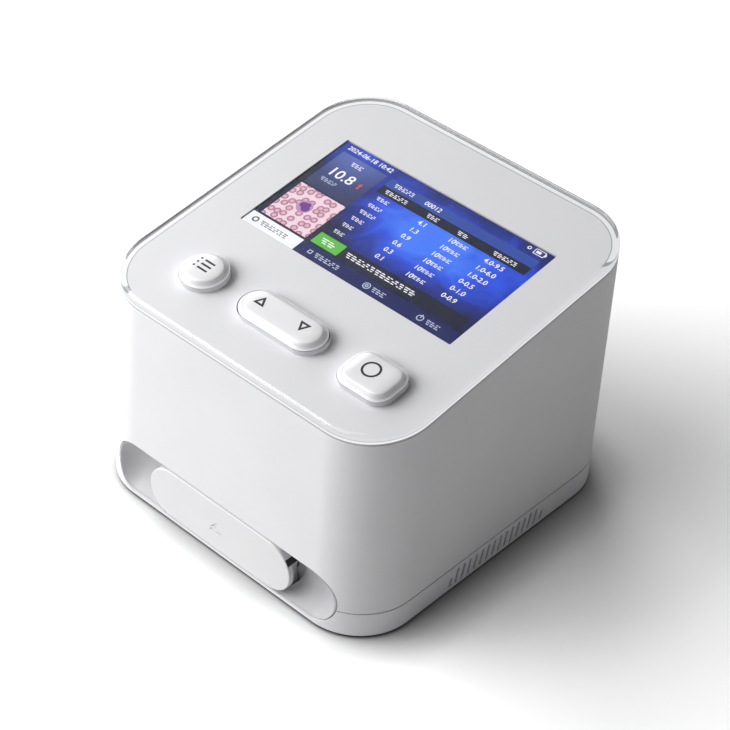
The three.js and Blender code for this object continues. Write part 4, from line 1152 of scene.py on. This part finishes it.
def makeBaseShell():
    bottom = body["bottom"]
    outer = levelBlock(0, bottom, body["parting"], base["edge"])
    lip = levelBlock(base["lipInset"], base["floorTop"], base["lipTop"])
    gap = body["fitGap"]
    lip = cutBy(lip, [recessPlug(linerBack + gap, body["wall"] + gap)])
    cavity = levelBlock(base["lipInset"] + base["lipThick"], base["floorTop"], base["lipTop"] + 4)
    bm = cutBy(outer, [lip], "UNION")
    bm = cutBy(bm, [cavity])
    collar = recessPlug(linerBack, body["wall"])
    skin = levelBlock(shell["skin"], bottom + 0.3, body["parting"])
    bm = cutBy(bm, [cutBy(collar, [skin], "INTERSECT")], "UNION")
    bosses = discsAt(screwPlaces, base["bossRadius"], 1.8, base["bossSplit"])
    posts = discsAt(postPlaces, base["postRadius"], 2.6, base["postTop"], 32, 0.2)
    bm = cutBy(bm, [bosses, posts], "UNION")
    opening = recessPlug(linerBack + 3)
    bores = discsAt(screwPlaces, base["screwHole"], -3, 17, 24)
    counters = discsAt(screwPlaces, base["counterbore"], -3, base["counterTop"])
    pockets = discsAt(footPlaces, base["footPocket"], -3, bottom + base["pocketDeep"], 40)
    slots = together([ventCutter(index) for index in range(vents["count"])])
    bm = cutBy(bm, [opening, bores, counters, pockets, slots])
    softenRim(bm, recess["lipEdge"])
    return finishPiece("lower_shell", bm, [shellWhite], "housing", ["base_shell"])


def makeFeet():
    for corner, place in zip(corners, footPlaces):
        foot = disc(base["footRadius"], 0, base["footHigh"], 48, 0.15, 0.35, place)
        name = "foot_" + corner
        finishPiece(name + "_pad", foot, [footRubber], "housing", [name])


makeMainShell()
makeBaseShell()
makeFeet()
print("shells made")

# recess liner with a finger bowl at each side, and the drawer in the middle
drawer = {
    "x": -0.6,
    "half": 33.9,
    "radius": 10.2,
    "proud": 0.4,
    "edge": 0.45,
    "endThick": 2.0,
    "hookRadius": 9.5,
    "hookOut": 5.0,
    "hookDrop": 3.0,
    "markDeep": 0.3,
    "markCorners": ((-2.7, 0, 0), (2.7, 0, 0), (0, 3.1, 0)),
    "markBar": (2.8, 0.4),
    "markGap": 1.15,
    "markAt": (-1.5, 12.4),
    "latchRise": 6.6,
    "latchThick": 2.0,
    "latchLong": 6.0,
    "tongueHalf": 29.4,
    "trayLow": 11.2,
    "holderHigh": 19.6,
    "passageGap": 0.7,
    "latchGap": 0.15,
}
recessFace = wallFront(recess["height"])


def fingerBowl(side):
    # a dish that follows the recess's rim and runs in behind the drawer front's end
    share = recess["bowlFront"] / (recess["bowlFront"] + recess["bowlDeep"])
    radius = recess["radius"] / math.sqrt(1 - share * share)
    bowl = bmesh.new()
    for reach in (0, recess["bowlReach"]):
        ball = bmesh.ops.create_uvsphere(bowl, u_segments=96, v_segments=48, radius=radius)["verts"]
        bmesh.ops.translate(bowl, vec=(side * (recess["half"] - recess["radius"] - reach), 0, 0), verts=ball)
    bmesh.ops.scale(bowl, vec=(1, 1, (recess["bowlFront"] + recess["bowlDeep"]) / radius), verts=bowl.verts)
    bmesh.ops.delete(bowl, geom=list(bowl.edges), context="EDGES_FACES")
    made = bmesh.ops.convex_hull(bowl, input=list(bowl.verts), use_existing_faces=False)
    inside = {
        g for part in ("geom_interior", "geom_unused") for g in made[part] if isinstance(g, bmesh.types.BMVert)}
    bmesh.ops.delete(bowl, geom=list(inside), context="VERTS")
    return moved(facingFront(bowl, 0, recess["height"]), 0, recessFace - recess["bowlFront"])


def makeLiner():
    gap = body["fitGap"]
    bm = cutBy(recessPlug(linerBack, -gap), [levelBlock(recess["faceInset"], -3, 34)], "INTERSECT")
    slot = drawerPlug(frontOut - 3, slotBack, gap + 0.1)
    room = drawer["passageGap"]
    reach = drawer["tongueHalf"] + room
    passage = bar(
        drawer["x"] - reach, drawer["x"] + reach, slotBack - 3, linerBack + 3,
        drawer["trayLow"] - room, drawer["holderHigh"] + room)
    bm = cutBy(bm, [slot, passage, fingerBowl(-1), fingerBowl(1)])
    return finishPiece(
        "finger_recess", bm, [linerWhiteWithPaintedShade], "housing", ["recess_liner"], sharp=30)


def drawerPlug(nearY, farY, grow=0.0, topEdge=0.0):
    return stadiumForward(drawer["half"], drawer["radius"], nearY, farY, drawer["x"], grow, topEdge)


def latchBlock(gap, rear):
    low = recess["height"] + drawer["latchRise"] - drawer["latchThick"]
    right = drawer["x"] + drawer["half"]
    near = recessFace - drawer["proud"] + drawer["edge"]
    return bar(
        right - drawer["latchLong"] - gap, right + 3, near - gap, rear, low - gap,
        low + drawer["latchThick"] + gap)


def ejectMark():
    # a triangle over a bar, sunk a little into the drawer's face
    near = recessFace - drawer["proud"]
    triangle = bmesh.new()
    face = triangle.faces.new([triangle.verts.new(point) for point in drawer["markCorners"]])
    raiseFace(triangle, face, 2)
    bm = together([triangle, block(*drawer["markBar"], 0.1, 2, 0, 2, middle=(0, -drawer["markGap"]))])
    return facingFront(moved(bm, 0, 0, -near - drawer["markDeep"]), *drawer["markAt"])


def makeDrawerFront():
    near = recessFace - drawer["proud"]
    back = slotBack - body["fitGap"]
    bm = drawerPlug(near, back, 0, drawer["edge"])
    hooks = []
    for side in (-1, 1):  # room for finger tips behind the plate's ends
        hook = disc(drawer["hookRadius"], -back - 3, -near - drawer["endThick"], 64)
        place = drawer["x"] + side * (drawer["half"] + drawer["hookOut"])
        hooks.append(facingFront(hook, place, recess["height"] - drawer["hookDrop"]))
    bm = cutBy(bm, [ejectMark(), latchBlock(drawer["latchGap"], back + 3)] + hooks)
    return finishPiece("drawer_face", bm, [drawerWhite], "drawer", ["drawer_front"])


def makeLatch():
    back = slotBack - body["fitGap"]
    ends = drawerPlug(frontOut, linerBack, -drawer["latchGap"])
    bm = cutBy(latchBlock(0, back), [ends], "INTERSECT")
    return finishPiece("latch_bar", bm, [blackPlastic], "drawer", ["drawer_latch"])


makeLiner()
makeDrawerFront()
makeLatch()
print("drawer made")


def refine(node, name, material, bodyName, edge):
    # a CAD piece whose shape is right, with its edges broken as the real one's are
    bm = bmesh.new()
    bm.from_mesh(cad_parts[node].data)
    bmesh.ops.scale(bm, vec=(1000, 1000, 1000), verts=bm.verts)
    bmesh.ops.remove_doubles(bm, verts=bm.verts, dist=1e-3)
    bmesh.ops.dissolve_limit(
        bm, angle_limit=math.radians(0.5), use_dissolve_boundaries=False, verts=bm.verts, edges=bm.edges)
    bmesh.ops.recalc_face_normals(bm, faces=bm.faces)
    edges = [e for e in bm.edges if len(e.link_faces) == 2 and e.calc_face_angle(0) > math.radians(35)]
    roundEdges(bm, edges, edge, 2)
    return finishPiece(name, bm, [material], bodyName, [node])


refine("drawer_tray", "sliding_tray", linerWhiteWithPaintedShade, "drawer", 0.3)
refine("cuvette_holder", "cuvette_bed", blackPlastic, "drawer", 0.3)
refine("dc_jack", "power_socket", blackPlastic, "housing", 0.25)
refine("usb_socket", "data_socket", brushedSteel, "housing", 0.2)
for corner in corners:
    node = "case_screw_" + corner
    refine(node, node + "_turned", brushedSteel, "housing", 0.2)

# the inner pieces keep their CAD shape and get their finish
innerFinishes = {
    brushedSteel: [
        "display_bracket", "rocker_cradle", "rocker_pin", "drawer_frame", "battery_strap", "radio_module",
        "button_board_screw_left", "button_board_screw_right", "drawer_screw_left", "drawer_screw_right",
        *("main_board_screw_" + corner for corner in corners)],
    satinAluminium: ["lamp_module", "optics_column"],
    blackPlastic: [
        "left_rail", "right_rail", "objective_barrel", "camera_sensor", "processor", "buzzer",
        "switch_menu", "switch_up", "switch_down", "switch_confirm"],
    circuitBoard: ["button_board", "camera_board", "main_board"],
    lensGlass: ["condenser_lens", "objective_lens"],
    batteryWrap: ["battery_pack"],
}
# the CAD pieces that new ones stand for carry the same finishes
outerFinishes = {
    shellWhite: ["main_shell", "base_shell"],
    linerWhiteWithPaintedShade: ["recess_liner", "drawer_tray"],
    drawerWhite: ["drawer_front"],
    deckWhite: ["deck_plate"],
    keyWhite: ["menu_button", "rocker_button", "confirm_button"],
    clearCover: ["clear_cover"],
    footRubber: ["foot_" + corner for corner in corners],
    blackPlastic: ["drawer_latch", "cuvette_holder", "dc_jack", "display_module"],
    brushedSteel: ["usb_socket", *("case_screw_" + corner for corner in corners)],
}
for finishes in (innerFinishes, outerFinishes):
    for material, names in finishes.items():
        for name in names:
            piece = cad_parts[name]
            if finishes is innerFinishes and not piece.material_slots:
                piece.data.materials.append(material)
            for holder in piece.material_slots:
                holder.material = material
print("inner pieces finished")

# studio: white floor with a painted contact shadow, broad soft light from the picture's left, a near panel and
# a dim sky
studio = {
    "floorHalf": 3.0,
    "floorSeen": 1.52,
    # how far the floor's painted contact shadow reaches, and how deep it is
    "paintedShadowReach": 0.02,
    "paintedShadowDepth": 1.6,
    "ambient": 0.08,
    "aim": (0, 0, 0.05),
    "panel": {"azimuth": 214, "elevation": 38, "distance": 0.55, "size": 0.45, "power": 2.35},
}
# far lights: the way they come from in degrees, their spread and strength
farLights = {
    "lowLeft": {"azimuth": 225, "elevation": 12, "spread": 30, "strength": 0.62},
    "left": {"azimuth": 247, "elevation": 38, "spread": 34, "strength": 0.7},
    "high": {"azimuth": 216, "elevation": 64, "spread": 34, "strength": 0.5},
    "behindLeft": {"azimuth": 150, "elevation": 28, "spread": 34, "strength": 0.7},
    "behindRight": {"azimuth": 45, "elevation": 14, "spread": 30, "strength": 0.16},
}


def makeFloor():
    bm = bmesh.new()
    bmesh.ops.create_grid(bm, x_segments=1, y_segments=1, size=studio["floorHalf"])
    mesh = bpy.data.meshes.new("floor")
    bm.to_mesh(mesh)
    bm.free()
    material, tree, shader = startMaterial("paleFloor", {"Roughness": 0.9, "Specular IOR Level": 0.1})
    feed(shader, {"Base Color": mixed(tree, toneOf(tree, 3.0), (0.93, 0.93, 0.935, 1), (0.95, 0.95, 0.95, 1))})
    # the floor is overexposed to the camera, as a cleared background is, and plain to every other ray; for the
    # camera, ambient occlusion darkens it near the body as a painted contact shadow
    near = addNode(tree, "AmbientOcclusion", {"Distance": studio["paintedShadowReach"]})
    contact = calc(tree, "POWER", near.outputs["AO"], studio["paintedShadowDepth"])
    seen = addNode(tree, "BsdfDiffuse", {"Color": calc(tree, "MULTIPLY", contact, studio["floorSeen"])})
    mixShaders(tree, addNode(tree, "LightPath").outputs["Is Camera Ray"], shader, seen)
    mesh.materials.append(material)
    floor = addObject("floor", mesh)


def wayOf(light):
    azimuth = math.radians(light["azimuth"])
    elevation = math.radians(light["elevation"])
    reach = math.cos(elevation)
    return Vector((math.cos(azimuth) * reach, math.sin(azimuth) * reach, math.sin(elevation)))


def addLight(name, data, light, distance):
    lamp = addObject(name, data)
    way = wayOf(light)
    lamp.location = Vector(studio["aim"]) + way * distance
    lamp.rotation_euler = way.to_track_quat("Z", "Y").to_euler()


def makeLights():
    panel = studio["panel"]
    data = bpy.data.lights.new("panel", "AREA")
    data.shape = "DISK"
    data.size = panel["size"]
    data.energy = panel["power"]
    addLight("panel", data, panel, panel["distance"])
    for name, light in farLights.items():
        data = bpy.data.lights.new(name, "SUN")
        data.angle = math.radians(light["spread"])
        data.energy = light["strength"]
        addLight(name, data, light, 1.0)


def makeWorld():
    world = bpy.data.worlds.new("studio")
    bpy.context.scene.world = world
    world.use_nodes = True
    background = world.node_tree.nodes["Background"]
    background.inputs["Color"].default_value = (1, 1, 1, 1)
    background.inputs["Strength"].default_value = studio["ambient"]


makeFloor()
makeLights()
makeWorld()

# camera fitted to the photograph
camera = {
    "azimuth": 39.939, "elevation": 38.895, "roll": 4.363, "distance": 757.2, "target": (-12.89, 17.18, 30.26),
    "lens": 102.68,
}


def makeCamera():
    azimuth = math.radians(camera["azimuth"])
    elevation = math.radians(camera["elevation"])
    roll = math.radians(camera["roll"])
    reach = math.cos(elevation)
    back = Vector((math.sin(azimuth) * reach, -math.cos(azimuth) * reach, math.sin(elevation)))
    right = Vector((math.cos(azimuth), math.sin(azimuth), 0))
    up = back.cross(right)
    turnedRight = right * math.cos(roll) + up * math.sin(roll)
    turnedUp = up * math.cos(roll) - right * math.sin(roll)
    data = bpy.data.cameras.new("photoCamera")
    data.sensor_width = 36
    data.sensor_fit = "HORIZONTAL"
    data.lens = camera["lens"]
    data.clip_start = 0.01
    holder = addObject("photoCamera", data)
    matrix = Matrix((turnedRight, turnedUp, back)).transposed().to_4x4()
    matrix.translation = (Vector(camera["target"]) + back * camera["distance"]) * mm
    holder.matrix_world = matrix
    bpy.context.scene.camera = holder


makeCamera()
bpy.context.scene.view_settings.view_transform = "Standard"
print("studio ready")
